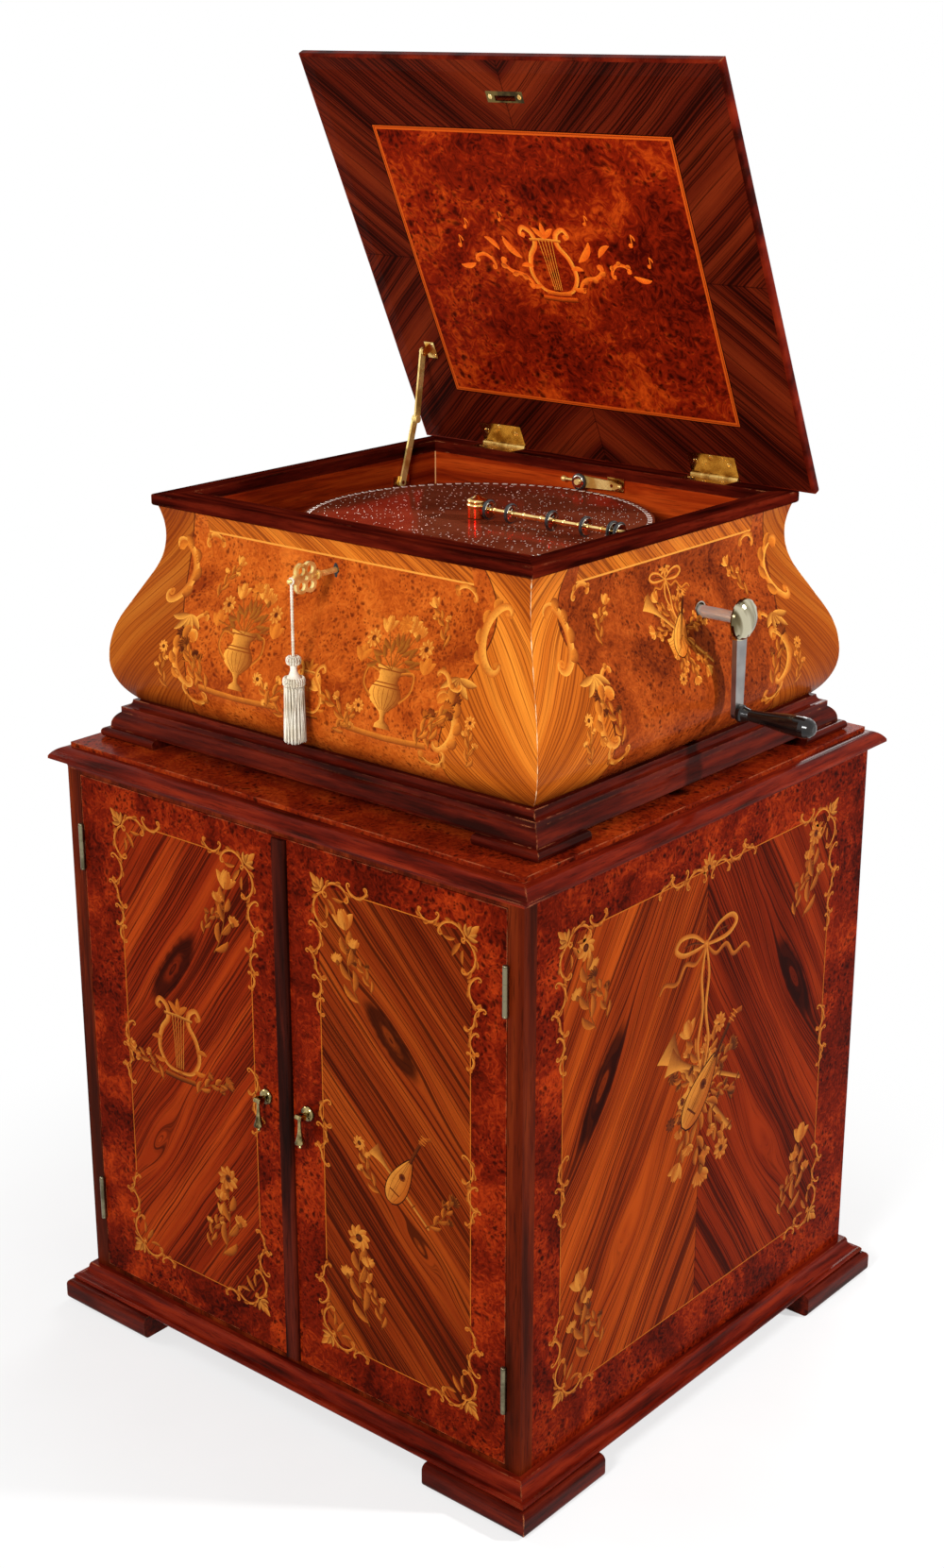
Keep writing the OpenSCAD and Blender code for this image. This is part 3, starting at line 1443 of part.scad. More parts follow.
cabinet_feet();
base_moulding();
cabinet_shelves();
left_side();
right_side();
back_panel();
face_frame();
cabinet_top_board();
top_moulding();
disc_dividers();
door_hinge_fixed();
left_door();
left_hinge_leaves();
left_pull_rosette();
left_pull_drop();
right_door();
astragal();
right_hinge_leaves();
right_pull_rosette();
right_pull_drop();
box_feet();
box_base();
case_front();
case_right();
case_back();
case_left();
rim_frame();
inner_liner();
deck_board();
lock_case();
lock_bolt();
key();
tassel_cord();
tassel();
lid_board();
lid_edge();
lid_hinge_fixed();
lid_hinge_moving();
strike_plate();
stay_lid_bracket();
stay_lower_link();
stay_upper_link();
wall_brackets();
crank_bush();
crank_shaft();
crank_arm();
crank_grip();
bedplate();
star_gantry();
star_wheels();
combs();
music_disc();
drive_sprocket();
spring_barrel();
governor();
motor_frame();
pressure_bar();
bar_rollers();
edge_arm();
edge_roller();
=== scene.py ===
"""Looks of a disc music box that stands on its two-door cabinet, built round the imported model."""

import random
from math import atan2, copysign, cos, degrees, hypot, pi, radians, sin, sqrt

import bpy
from mathutils import Matrix, Vector


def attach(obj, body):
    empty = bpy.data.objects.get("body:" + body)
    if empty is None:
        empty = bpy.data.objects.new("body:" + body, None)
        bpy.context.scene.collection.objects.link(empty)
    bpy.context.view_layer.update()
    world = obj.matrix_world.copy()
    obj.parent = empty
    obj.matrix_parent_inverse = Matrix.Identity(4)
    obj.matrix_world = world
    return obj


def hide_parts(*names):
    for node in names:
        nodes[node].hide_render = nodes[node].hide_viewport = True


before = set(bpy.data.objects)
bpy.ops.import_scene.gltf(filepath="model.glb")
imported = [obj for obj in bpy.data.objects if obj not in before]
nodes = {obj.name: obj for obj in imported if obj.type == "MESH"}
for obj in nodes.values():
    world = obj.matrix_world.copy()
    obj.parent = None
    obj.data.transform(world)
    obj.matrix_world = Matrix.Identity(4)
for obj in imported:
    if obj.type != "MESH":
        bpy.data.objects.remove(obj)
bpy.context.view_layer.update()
scene = bpy.context.scene
rng = random.Random(11)

# Places that several pieces share, in metres, the rim's half sizes in millimetres and the lid's angle

MM = 0.001
LID_OPEN = radians(65)
LID_Y = 0.2477
LID_Z = 1.0013
RIM_TOP = 1.001
CASE_Y = 0.007
HALF_X = 269.5
HALF_Y = 237.0
DISC_Y = 0.009
DISC_TOP = 0.97206
BAR_Z = 0.9835
CORD_Y = -0.286
KEY_Z = 0.955
TASSEL_Z = 0.876

# Camera

CAMERA_AIM = Vector((0, 0, 0.6613))
CAMERA_FAR = 2.586
az = radians(40.06)
el = radians(18.98)
away = Vector((sin(az) * cos(el), -cos(az) * cos(el), sin(el)))
camera_data = bpy.data.cameras.new("camera")
camera_data.lens = 51.46
camera_data.sensor_width = 36
camera = bpy.data.objects.new("camera", camera_data)
camera.location = CAMERA_AIM + CAMERA_FAR * away
camera.rotation_euler = (-away).to_track_quat("-Z", "Y").to_euler()
scene.collection.objects.link(camera)
scene.camera = camera
scene.view_settings.view_transform = "Standard"


def srgb(r, g, b):
    """Linear colour from 0 to 255 display values."""
    out = []
    for v in (r, g, b):
        c = v / 255
        out.append(c / 12.92 if c <= 0.04045 else ((c + 0.055) / 1.055) ** 2.4)
    return (out[0], out[1], out[2], 1.0)


def shade(rgb, k):
    """Linear colour of display values, k times as bright."""
    return tuple(v * k for v in srgb(*rgb)[:3]) + (1.0,)


# Shader building


def operation(kind):
    """A method of Val that adds one math node."""
    return lambda self, *others: self.t.math(kind, self, *others)


class Val:
    """A number in a node tree, with arithmetic."""

    __add__ = __radd__ = operation("ADD")
    __sub__ = operation("SUBTRACT")
    __mul__ = __rmul__ = operation("MULTIPLY")
    __truediv__ = operation("DIVIDE")
    abs = operation("ABSOLUTE")
    gt = operation("GREATER_THAN")
    lt = operation("LESS_THAN")
    max = operation("MAXIMUM")
    min = operation("MINIMUM")
    sqrt = operation("SQRT")
    exp = operation("EXPONENT")
    sin = operation("SINE")

    def __init__(self, tree, socket):
        self.t = tree
        self.s = socket

    def __rsub__(self, o):
        return self.t.math("SUBTRACT", o, self)

    def step(self, lo, hi):
        """0 at lo to 1 at hi, smooth; lo may be above hi."""
        if lo > hi:
            return 1 - self.step(hi, lo)
        values = {"Value": self, "From Min": lo, "From Max": hi}
        return Val(self.t, self.t.add("MapRange", values, "Result", interpolation_type="SMOOTHSTEP"))

    def band(self, centre, half, soft):
        """1 inside centre plus or minus half."""
        return (self - centre).abs().step(half + soft, half)


class Nodes:
    """A node tree and the means to add to it."""

    def __init__(self, nt):
        self.nt = nt

    def put(self, socket, value):
        if isinstance(value, Val):
            value = value.s
        if isinstance(value, bpy.types.NodeSocket):
            self.nt.links.new(value, socket)
        elif socket.type == "RGBA" and len(value) == 3:
            socket.default_value = srgb(*value)
        else:
            socket.default_value = value

    def fill(self, node, values):
        for key, value in values.items():
            self.put(node.inputs[key], value)

    def add(self, kind, values=(), out=0, **props):
        """Adds a node, sets its inputs and gives one of its outputs."""
        n = self.nt.nodes.new("ShaderNode" + kind)
        for k, v in props.items():
            setattr(n, k, v)
        self.fill(n, dict(values))
        return n.outputs[out]

    def math(self, op, *values):
        return Val(self, self.add("Math", dict(enumerate(values)), operation=op))

    def seen(self):
        """1 for what the camera sees, also in a reflection or through glass."""
        path = self.add("LightPath").node.outputs
        a, b, c = (Val(self, path[f"Is {k} Ray"]) for k in ("Camera", "Glossy", "Transmission"))
        return (a + b + c).min(1.0)

    def blend(self, fac, a, b, output):
        self.put(output.inputs["Surface"], self.add("MixShader", {0: fac, 1: a, 2: b}))


class Tree(Nodes):
    """A material on the Principled shader, with object coordinates in metres."""

    def __init__(self, name):
        self.mat = bpy.data.materials.new(name)
        self.mat.use_nodes = True
        super().__init__(self.mat.node_tree)
        self.bsdf = self.nt.nodes["Principled BSDF"]
        self.p = self.add("TexCoord", out="Object")
        parts = self.add("SeparateXYZ", {0: self.p}).node
        self.x, self.y, self.z = (Val(self, o) for o in parts.outputs)

    def vec(self, *xyz):
        return self.add("CombineXYZ", dict(enumerate(xyz)))

    def noise(self, vector, scale, detail, rough=0.5, warp=0.0, out="Fac"):
        values = {"Vector": vector, "Scale": scale, "Detail": detail, "Roughness": rough, "Distortion": warp}
        return Val(self, self.add("TexNoise", values, out))

    def grain(self, x, y, z, *rest):
        """Noise that is stretched by unequal factors."""
        return self.noise(self.vec(x, y, z), 1.0, *rest)

    def cells(self, vector, scale):
        return Val(self, self.add("TexVoronoi", {"Vector": vector, "Scale": scale}, "Distance"))

    def warped(self, vector, scale, amount):
        """The vector pushed about by a noise of the given scale."""
        push = self.noise(vector, scale, 2.0, out="Color")
        return self.add("VectorMath", {0: push, 1: (amount,) * 3, 2: vector}, operation="MULTIPLY_ADD")

    def ramp(self, fac, places, colours):
        out = self.add("ValToRGB", {0: fac})
        e = out.node.color_ramp.elements
        while len(e) < len(places):
            e.new(0.5)
        for stop, place, c in zip(e, places, colours):
            stop.position = place
            stop.color = c if len(c) == 4 else srgb(*c)
        return out

    def mix(self, fac, a, b):
        return self.add("Mix", {0: fac, 6: a, 7: b}, 2, data_type="RGBA")

    def pick(self, fac, a, b):
        return (1 - fac) * a + fac * b

    def bump(self, height, depth=0.00008, strength=0.5):
        values = {"Strength": strength, "Distance": depth, "Height": height}
        self.put(self.bsdf.inputs["Normal"], self.add("Bump", values))

    def worn(self, radius):
        """1 on arrises, 0 on open faces."""
        rounded = self.add("Bevel", {"Radius": radius}, samples=4)
        plain = self.add("NewGeometry", out="Normal")
        like = self.add("VectorMath", {0: rounded, 1: plain}, "Value", operation="DOT_PRODUCT")
        return Val(self, like).step(0.985, 0.86)

    def rubbed(self, c, amount):
        """The colour with pale wear in places along the arrises."""
        rub = self.worn(0.002) * self.noise(self.p, 50, 3.0).step(0.42, 0.6)
        return self.mix(rub * amount, c, PALE_WEAR)

    def finish(self, colour, rough=0.3, metal=0.0, spec=0.4, tint=(1, 1, 1, 1)):
        looks = {"Base Color": colour, "Roughness": rough, "Metallic": metal}
        self.fill(self.bsdf, {**looks, "Specular IOR Level": spec, "Specular Tint": tint})
        return self.mat

    def lacquer(self, colour, rough=0.12, spread=0.12, scale=20, gloss=0.018):
        """Warm shellac: weak, clear reflections that keep the wood's depth."""
        uneven = rough + spread * self.noise(self.p, scale, 3.0)
        return self.finish(colour, uneven, spec=gloss, tint=(1.0, 0.7, 0.5, 1))


def dress(material, *names):
    for name in names:
        o = nodes[name]
        o.data.materials.clear()
        o.data.materials.append(material)


# Woods


def burl(t, size, dark, mid, light, pip):
    """Clouds, curled figure and crowds of dark pips; size is about 1 for large figure."""
    q = t.warped(t.p, 30 * size, 0.018 / size)
    cloud = t.noise(q, 11 * size, 4.0, 0.6, 0.8)
    curl = t.noise(q, 95 * size, 4.0, 0.65, 2.0)
    c = t.ramp(cloud * 0.58 + curl * 0.42, (0.38, 0.51, 0.65), (dark, mid, light))
    crowd = t.noise(t.p, 20 * size, 3.0).step(0.36, 0.56)
    large = t.cells(q, 105 * size).step(0.42, 0.12) * crowd
    small = t.cells(q, 215 * size).step(0.42, 0.12) * (0.3 + 0.6 * crowd)
    c = t.mix(large * 0.8, c, pip)
    return t.mix(small * 0.8, c, pip), curl


def streaked(t, s, a, seed, dark, mid, light, line, wave=0.014):
    """Straight figure: s runs along the grain and a across it, in metres."""
    drift = t.grain(s * 5, a * 9, seed, 2.0) - 0.5
    b = a + drift * wave
    broad = t.grain(s * 1.3, b * 22, seed + 3.0, 3.0)
    group = t.grain(s * 1.6, b * 85, seed + 4.0, 2.0)
    veins = t.grain(s * 2.4, b * 500, seed + 5.0, 2.0)
    fine = t.grain(s * 12, b * 950, seed + 7.0, 2.0, 0.6)
    c = t.ramp(broad * 0.74 + group * 0.26, (0.36, 0.49, 0.63), (dark, mid, light))
    c = t.mix((veins + (broad - 0.5) * 0.35).step(0.5, 0.4) * 0.8, c, line)
    return t.mix(fine.step(0.48, 0.34) * 0.45, c, line), fine


def eye(s, a, field, s0, a0, length, width):
    """Bends the grain field into an oval figure round s0, a0."""
    u = (s - s0) / length
    v = (a - a0) / width
    d = (u * u + v * v).sqrt()
    k = (d * d * -0.9).exp()
    return s.t.pick(k, field, d * (0.55 * width) + a0)


def core(t, s, a, s0, a0, length, width):
    """1 in the dark ring of an oval figure, less in its heart."""
    u = (s - s0) / length
    v = (a - a0) / width + t.noise(t.p, 60, 3.0) * 0.5 - 0.25
    d = (u * u + v * v).sqrt()
    return d.step(0.95, 0.62) - d.step(0.42, 0.2) * 0.55


RED_TONES = ((44, 5, 2), (90, 17, 6), (122, 33, 12))
BOX_TONES = ((34, 5, 3), (68, 13, 6), (98, 26, 11))
PALE_WEAR = (190, 112, 70)
HEART = (26, 5, 3)
CABINET_FRAME = (0.333, 0.318, 0.0)
BOX_FRAME = (HALF_X * MM, HALF_Y * MM, CASE_Y)


def moulding(name, hx, hy, yc, colours, gloss=0.045):
    """Polished dark wood whose grain follows each side of a mitred frame."""
    t = Tree(name)
    beyond_x = t.x.abs() - hx
    beyond_y = (t.y - yc).abs() - hy
    side = beyond_x.gt(beyond_y)
    along = t.pick(side, t.x, t.y)
    across = t.pick(side, t.y, t.x)
    figure = t.grain(along * 7, across * 80, t.z * 80, 4.0, 0.6)
    pores = t.grain(along * 45, across * 800, t.z * 800, 2.0)
    c = t.ramp(figure, (0.34, 0.5, 0.68), colours)
    c = t.mix(pores.step(0.42, 0.3) * 0.5, c, shade(colours[0], 0.5))
    mitre = (beyond_x - beyond_y).abs().step(0.05, 0.0)
    rub = t.worn(0.0022) * t.noise(t.p, 70, 3.0, 0.6).step(0.44, 0.6) * (0.12 + 0.88 * mitre)
    c = t.mix(rub * 0.8, c, PALE_WEAR)
    t.bump(pores, 0.00006)
    return t.lacquer(c, 0.08, 0.08, 22, gloss)


def plain_wood(name, stretch, colours, rough=0.34):
    """Straight-grained wood; stretch is 3 along the grain and 46 across it."""
    t = Tree(name)
    q = t.vec(t.x * stretch[0], t.y * stretch[1], t.z * stretch[2])
    figure = t.noise(q, 1.0, 4.0, 0.58, 0.6)
    fine = t.noise(q, 9.0, 2.0, 0.6)
    c = t.ramp(figure, (0.34, 0.5, 0.66), colours)
    c = t.mix(fine.step(0.46, 0.32) * 0.55, c, shade(colours[0], 0.6))
    t.bump(fine, 0.0001, 0.6)
    return t.lacquer(c, rough, 0.12, 17)


dress(moulding("cabinet_moulding", *CABINET_FRAME, RED_TONES), "base_moulding", "top_moulding")
dress(moulding("box_moulding", *BOX_FRAME, BOX_TONES), "box_feet", "box_base")
dress(moulding("foot_moulding", *CABINET_FRAME, BOX_TONES), "cabinet_feet")
dress(moulding("rim_moulding", *BOX_FRAME, BOX_TONES, 0.0), "rim_frame")


LID_MIDDLE = 0.2535
LID_HALF = 0.286
LID_FRONT = 0.5047
LID_BACK = 0.0046
LID_PANEL = (-0.204, 0.204, 0.076, 0.419)


def lid_ring(t):
    """Quartered rosewood round the lid's middle; also gives the distance along the lid."""
    v = (t.y - LID_Y) * -cos(LID_OPEN) + (t.z - LID_Z) * sin(LID_OPEN)
    x = t.x.abs()
    middle = v - LID_MIDDLE
    w = middle.abs()
    colours = ((56, 12, 5), (84, 21, 8), (112, 36, 13), (14, 3, 2))
    c, f = streaked(t, x * 0.755 + w * 0.656, x * -0.656 + w * 0.755, 4.0, *colours)
    seam = t.x.band(0.0, 0.0005, 0.0004).max(middle.band(0.0, 0.0005, 0.0004))
    return t.mix(seam * 0.6, c, (26, 4, 2)), f, v


def lid_moulding():
    t = Tree("lid_moulding")
    ring, _, v = lid_ring(t)
    deep = (t.y - LID_Y) * sin(LID_OPEN) + (t.z - LID_Z) * cos(LID_OPEN)
    margin = (LID_HALF - t.x.abs()).min(LID_FRONT - v).min(v + LID_BACK)
    inner = deep.lt(0.001) * margin.gt(0.0035)
    pores = t.grain(t.x * 300, v * 300, t.y * 300, 2.0)
    c = t.ramp(t.noise(t.p, 30, 4.0), (0.34, 0.5, 0.68), RED_TONES)
    rub = t.worn(0.0022) * t.noise(t.p, 55, 3.0, 0.6).step(0.42, 0.62)
    c = t.mix(rub * 0.6, c, PALE_WEAR)
    c = t.mix(inner, c, ring)
    t.bump(pores)
    return t.lacquer(c, 0.12, 0.12, 22)


dress(lid_moulding(), "lid_edge")

UPRIGHT = (46.0, 46.0, 3.0)
post_tones = ((50, 12, 3), (82, 22, 5), (110, 38, 10))
board_tones = ((58, 22, 10), (98, 42, 20), (132, 66, 34))
strip_tones = ((20, 5, 3), (44, 12, 7), (84, 26, 14))
back_tones = ((58, 24, 12), (92, 44, 22), (126, 68, 38))
brown_board = plain_wood("brown_board", (46.0, 3.0, 46.0), board_tones, 0.5)
dress(plain_wood("brown_post", UPRIGHT, post_tones), "face_frame")
dress(brown_board, "cabinet_shelves", "disc_dividers", "deck_board")
dress(plain_wood("dark_strip", UPRIGHT, strip_tones, 0.24), "astragal")
dress(plain_wood("back_wood", UPRIGHT, back_tones, 0.5), "back_panel")


def liner_wood():
    t = Tree("liner_wood")
    figure = t.grain(t.x * 4, t.y * 4, t.z * 60, 4.0, 0.6, 0.8)
    fine = t.grain(t.x * 30, t.y * 30, t.z * 700, 2.0)
    c = t.ramp(figure, (0.34, 0.5, 0.66), ((112, 26, 6), (150, 46, 10), (184, 68, 18)))
    c = t.mix(fine.step(0.46, 0.3) * 0.4, c, (60, 12, 5))
    joint = t.x.abs().band(0.242, 0.0007, 0.0005) * t.y.gt(0.2162)
    c = t.mix(joint * 0.8, c, (226, 170, 110))
    t.bump(fine)
    return t.lacquer(c, 0.14, 0.12, 20)


dress(liner_wood(), "inner_liner")


def top_burl():
    t = Tree("top_burl")
    c, h = burl(t, 1.0, (80, 13, 4), (122, 32, 8), (160, 58, 16), (36, 6, 3))
    c = t.rubbed(c, 0.6)
    t.bump(h, 0.0001, 0.4)
    return t.lacquer(c, 0.12, 0.14, 18)


dress(top_burl(), "cabinet_top_board")


def rectangle(u, v, u0, u1, v0, v1):
    """Distance outside a rectangle, negative inside, with square corners."""
    du = (u - (u0 + u1) / 2).abs() - (u1 - u0) / 2
    dv = (v - (v0 + v1) / 2).abs() - (v1 - v0) / 2
    return du.max(dv)


def strung(t, c, d, offset, half, tone, amount=0.9):
    """Adds a line of inlay that runs at a distance from a rectangle's edge."""
    return t.mix(d.band(offset, half, 0.00035) * amount, c, tone)


DOOR_BURL = ((54, 7, 2), (104, 21, 5), (160, 50, 12), (24, 3, 2))
DOOR_GLOSS = 0.008
DOOR_PANEL = (0.105, 0.648)
DOOR_MIDDLE = 0.376
SIDE_PANEL = (-0.254, 0.247, 0.115, 0.640)
SIDE_SEAM = -0.0035


def turned_axes(u, v, lean):
    """Coordinates along and across a grain that leans from u by an angle in degrees."""
    k = radians(lean)
    return u * cos(k) + v * sin(k), u * -sin(k) + v * cos(k)


def door_wood(name, x0, x1, lean, colours, eyes):
    t = Tree(name)
    d = rectangle(t.x, t.z, x0, x1, *DOOR_PANEL)
    border = burl(t, 1.0, *DOOR_BURL)[0]
    s, a = turned_axes(t.x - (x0 + x1) / 2, t.z - DOOR_MIDDLE, lean)
    field = a
    for e in eyes:
        field = eye(s, a, field, *e)
    panel, f = streaked(t, s, field, 2.0 + lean / 50, *colours)
    panel = t.mix(core(t, s, a, *eyes[0]) * 0.85, panel, HEART)
    c = t.mix(d.lt(0.0), border, panel)
    c = t.rubbed(c, 0.5)
    t.bump(f)
    return t.lacquer(c, gloss=DOOR_GLOSS)


LEFT_TONES = ((92, 19, 4), (124, 34, 8), (156, 56, 14), (42, 8, 3))
RIGHT_TONES = ((92, 24, 5), (120, 41, 9), (150, 62, 15), (42, 10, 3))
LEFT_EYES = [(0.078, 0.084, 0.075, 0.02), (-0.13, -0.02, 0.07, 0.024)]
RIGHT_EYES = [(0.09, -0.085, 0.062, 0.018), (-0.1, 0.05, 0.07, 0.022)]
dress(door_wood("left_door_wood", -0.252, -0.045, 54, LEFT_TONES, LEFT_EYES), "left_door")
dress(door_wood("right_door_wood", 0.058, 0.266, 135, RIGHT_TONES, RIGHT_EYES), "right_door")


def side_wood():
    """Two leaves of rosewood that meet in the middle, in a burl border; the front leaf carries painted light
    and the rear leaf painted shade.
    """
    t = Tree("side_wood")
    d = rectangle(t.y, t.z, *SIDE_PANEL)
    border = burl(t, 1.0, *DOOR_BURL)[0]
    v = t.y - SIDE_SEAM
    a, s = turned_axes(v.abs(), t.z - 0.37, 32)
    field = eye(s, a, a, -0.027, 0.2, 0.1, 0.03)
    field = eye(s, a, field, -0.16, 0.06, 0.08, 0.026)
    # One figure in two tones: painted light on the front leaf, painted shade on the rear leaf
    light, f = streaked(t, s, field, 5.0, (102, 28, 6), (136, 47, 10), (166, 68, 16), (48, 10, 4))
    deep = streaked(t, s, field, 5.0, (76, 15, 3), (108, 27, 6), (138, 43, 11), (34, 6, 2))[0]
    panel = t.mix(v.lt(0.0), deep, light)
    panel = t.mix(core(t, s, a, -0.027, 0.2, 0.085, 0.02) * 0.85, panel, HEART)
    c = t.mix(d.lt(0.0), border, panel)
    c = t.mix(v.band(0.0, 0.0005, 0.0004) * d.lt(0.0) * 0.7, c, (40, 8, 4))
    t.bump(f)
    return t.lacquer(c, gloss=DOOR_GLOSS)


dress(side_wood(), "left_side", "right_side")

CASE_BURL = ((132, 48, 11), (176, 78, 20), (206, 106, 33), (82, 22, 6))
CASE_ROSE = ((160, 74, 17), (192, 98, 25), (222, 130, 40), (116, 48, 12))
# The front burl's tones made darker: painted shade for the case's end walls
END_WALL_BURL_SHADED = ((96, 32, 8), (142, 56, 15), (178, 82, 26), (58, 14, 5))
BAND_Z = 0.969


def case_wood(name, across, centre, end, colours, painted_shade):
    """Burl between streaked ends that fan to the mitres, under a slanting band and a line, with painted
    shade on one end and along the foot.
    """
    t = Tree(name)
    u = (t.x if across == "x" else t.y) - centre
    w = u.abs()
    middle = burl(t, 1.15, *colours)[0]
    wing, f = streaked(t, w * 0.7 - t.z * 0.71, w * 0.71 + t.z * 0.7, 3.0, *CASE_ROSE, wave=0.025)
    # Painted shade: the wing on one side of the wall, picked by the sign of the last argument, is darkened
    # as if it got less light
    wing = t.mix(u.step(0.0, copysign(0.2, painted_shade)) * abs(painted_shade), wing, (112, 40, 10))
    slant = (t.z - 0.97) * 0.8 + u * 0.6
    band = streaked(t, u * 0.8, slant, 8.0, *CASE_ROSE)[0]
    edge = end + ((t.z - 0.87) * 24).sin() * 0.018
    c = t.mix(w.gt(edge), middle, wing)
    c = t.mix((w - edge).band(0.0, 0.0007, 0.0004) * 0.8, c, (60, 20, 8))
    inner = w.lt(end - 0.012)
    c = t.mix(t.z.gt(BAND_Z) * inner, c, band)
    c = t.mix(t.z.band(BAND_Z, 0.0009, 0.0004) * inner * 0.9, c, (222, 146, 56))
    # Painted shade under the belly: the wall is darkened towards its bottom edge, where it turns down to the
    # base
    c = t.mix(t.z.step(0.79, 0.768) * 0.5, c, (74, 24, 8))
    t.bump(f, 0.0001)
    return t.lacquer(c)


dress(case_wood("case_front_wood", "x", 0.0, 0.2, CASE_BURL, -0.55), "case_front", "case_back")
dress(case_wood("case_side_wood", "y", CASE_Y, 0.168, END_WALL_BURL_SHADED, 0.55), "case_right", "case_left")


def lid_wood():
    t = Tree("lid_wood")
    ring, f, v = lid_ring(t)
    d = rectangle(t.x, v, *LID_PANEL)
    middle = burl(t, 0.7, (62, 7, 3), (130, 27, 6), (204, 74, 15), (30, 4, 2))[0]
    c = t.mix(d.lt(0.0), ring, middle)
    c = strung(t, c, d, 0.0, 0.0021, (206, 84, 20))
    c = strung(t, c, d, 0.0004, 0.0004, (112, 26, 8), 0.7)
    c = strung(t, c, d, 0.0028, 0.0005, (30, 5, 3))
    t.bump(f)
    return t.lacquer(c, 0.16, 0.14, 20, 0.006)


dress(lid_wood(), "lid_board")

# Metals, rubber and black wood


def metal(name, base, dull, rough, spread=0.16, depth=0.00006, pure=1.0):
    t = Tree(name)
    cloud = t.noise(t.p, 45, 4.0, 0.6)
    speck = t.noise(t.p, 420, 3.0, 0.6)
    c = t.ramp(cloud, (0.38, 0.56), (dull, base))
    c = t.mix(speck.step(0.58, 0.72) * min(0.35, depth * 5000), c, shade(dull, 0.6))
    t.bump(speck, depth)
    return t.finish(c, rough + spread * cloud, pure)


brass = metal("aged_brass", (224, 186, 112), (168, 124, 60), 0.14, 0.1, 0.00003)
gold_brass = metal("bright_brass", (244, 212, 140), (214, 166, 88), 0.12, 0.08, 0.00002)
pale_brass = metal("pale_brass", (244, 216, 136), (202, 156, 76), 0.22, 0.1, 0.00001, 0.5)
antique = metal("antique_brass", (182, 162, 108), (62, 50, 28), 0.08, 0.1, 0.00002)
dark_brass = metal("dark_brass", (112, 92, 50), (58, 46, 26), 0.2, 0.12, 0.00003)
nickel = metal("polished_nickel", (204, 196, 182), (166, 157, 142), 0.06, 0.05, 0.000004)
steel = metal("dull_steel", (132, 124, 98), (92, 84, 64), 0.28)
bright_steel = metal("bright_steel", (250, 244, 234), (230, 220, 206), 0.3, 0.1, 0.00001, 0.3)
gilt = metal("gilt_iron", (196, 152, 78), (138, 98, 46), 0.34)
dress(brass, "lid_hinge_fixed", "lid_hinge_moving", "stay_lid_bracket", "wall_brackets", "lock_case")
dress(brass, "spring_barrel", "governor")
dress(antique, "left_pull_rosette", "left_pull_drop", "right_pull_rosette", "right_pull_drop")
dress(dark_brass, "strike_plate")
dress(pale_brass, "key", "edge_arm", "stay_lower_link", "stay_upper_link")
dress(gold_brass, "pressure_bar")
dress(nickel, "crank_shaft", "crank_bush")
dress(steel, "lock_bolt", "door_hinge_fixed", "left_hinge_leaves", "right_hinge_leaves", "star_gantry")
dress(steel, "star_wheels", "combs", "drive_sprocket")
dress(gilt, "bedplate", "motor_frame")


CRANK_Y = 0.051
CRANK_Z = 0.903
CRANK_CAP_R = 0.0232
CRANK_ARM_X = 0.3213


def crank_metal():
    """Satin arm, brighter sleeve and a polished cap with painted reflections, swirls from dark brown to pale
    gold.
    """
    t = Tree("crank_nickel")
    v = t.y - CRANK_Y
    w = t.z - CRANK_Z
    cap = (v * v + w * w).sqrt().step(CRANK_CAP_R + 0.0006, CRANK_CAP_R)
    outer = t.x.step(CRANK_ARM_X, CRANK_ARM_X + 0.0004)
    cloud = t.noise(t.p, 40, 3.0)
    arm = t.ramp(cloud, (0.35, 0.65), ((134, 130, 128), (158, 154, 150)))
    # Painted reflection on the cap: swirled dark brown and pale gold for what the polished dome mirrors
    reflection_swirl = t.grain(t.y * 30, t.y * 30, t.z * 30 + t.y * 60, 2.0)
    painted_dome_reflection = t.ramp(reflection_swirl, (0.36, 0.48, 0.62), ((58, 48, 30), (112, 100, 72), (196, 188, 160)))
    c = t.mix(outer, (204, 196, 184), t.mix(cap, arm, painted_dome_reflection))
    t.bump(t.grain(t.x * 400, t.y * 900, t.z * 40, 2.0), 0.000004, 0.3)
    tip = cap * outer
    return t.finish(c, 0.13 + 0.19 * (outer - tip) - 0.05 * tip + 0.05 * cloud, 0.62 + 0.38 * outer)


dress(crank_metal(), "crank_arm")


def disc_metal():
    t = Tree("disc_metal")
    v = t.y - DISC_Y
    r = (t.x * t.x + v * v).sqrt()
    rings = t.grain(r * 900, 0.0, 0.0, 2.0)
    cloud = t.noise(t.p, 16, 4.0, 0.6)
    # Painted reflection: the steel is coloured red-brown and its reflections are tinted to match, as if it
    # mirrored the lid's wood
    c = t.ramp(cloud, (0.35, 0.6), ((142, 58, 34), (170, 82, 52)))
    c = t.mix(rings.step(0.55, 0.7) * 0.3, c, (96, 38, 24))
    t.bump(rings, 0.00003, 0.3)
    return t.finish(c, 0.06 + 0.08 * cloud, 0.6, 0.0, (0.38, 0.15, 0.08, 1))


dress(disc_metal(), "music_disc")


def rubber():
    t = Tree("black_rubber")
    n = t.noise(t.p, 300, 3.0)
    c = t.ramp(n, (0.4, 0.7), ((16, 15, 15), (38, 36, 35)))
    t.bump(n, 0.0001, 0.4)
    return t.finish(c, 0.42 + 0.2 * n)


def ebonised():
    t = Tree("ebony_and_painted_hole_shade")
    n = t.grain(t.x * 20, t.y * 260, t.z * 260, 3.0)
    c = t.ramp(n, (0.4, 0.7), ((10, 8, 8), (32, 24, 20)))
    t.bump(n, 0.00008, 0.4)
    return t.finish(c, 0.08 + 0.1 * t.noise(t.p, 60, 3.0))


dress(rubber(), "bar_rollers", "edge_roller")
# One black material: ebonised wood on the crank's grip, and painted shade in the keyhole
ebony_and_hole_shade_mat = ebonised()
dress(ebony_and_hole_shade_mat, "crank_grip")

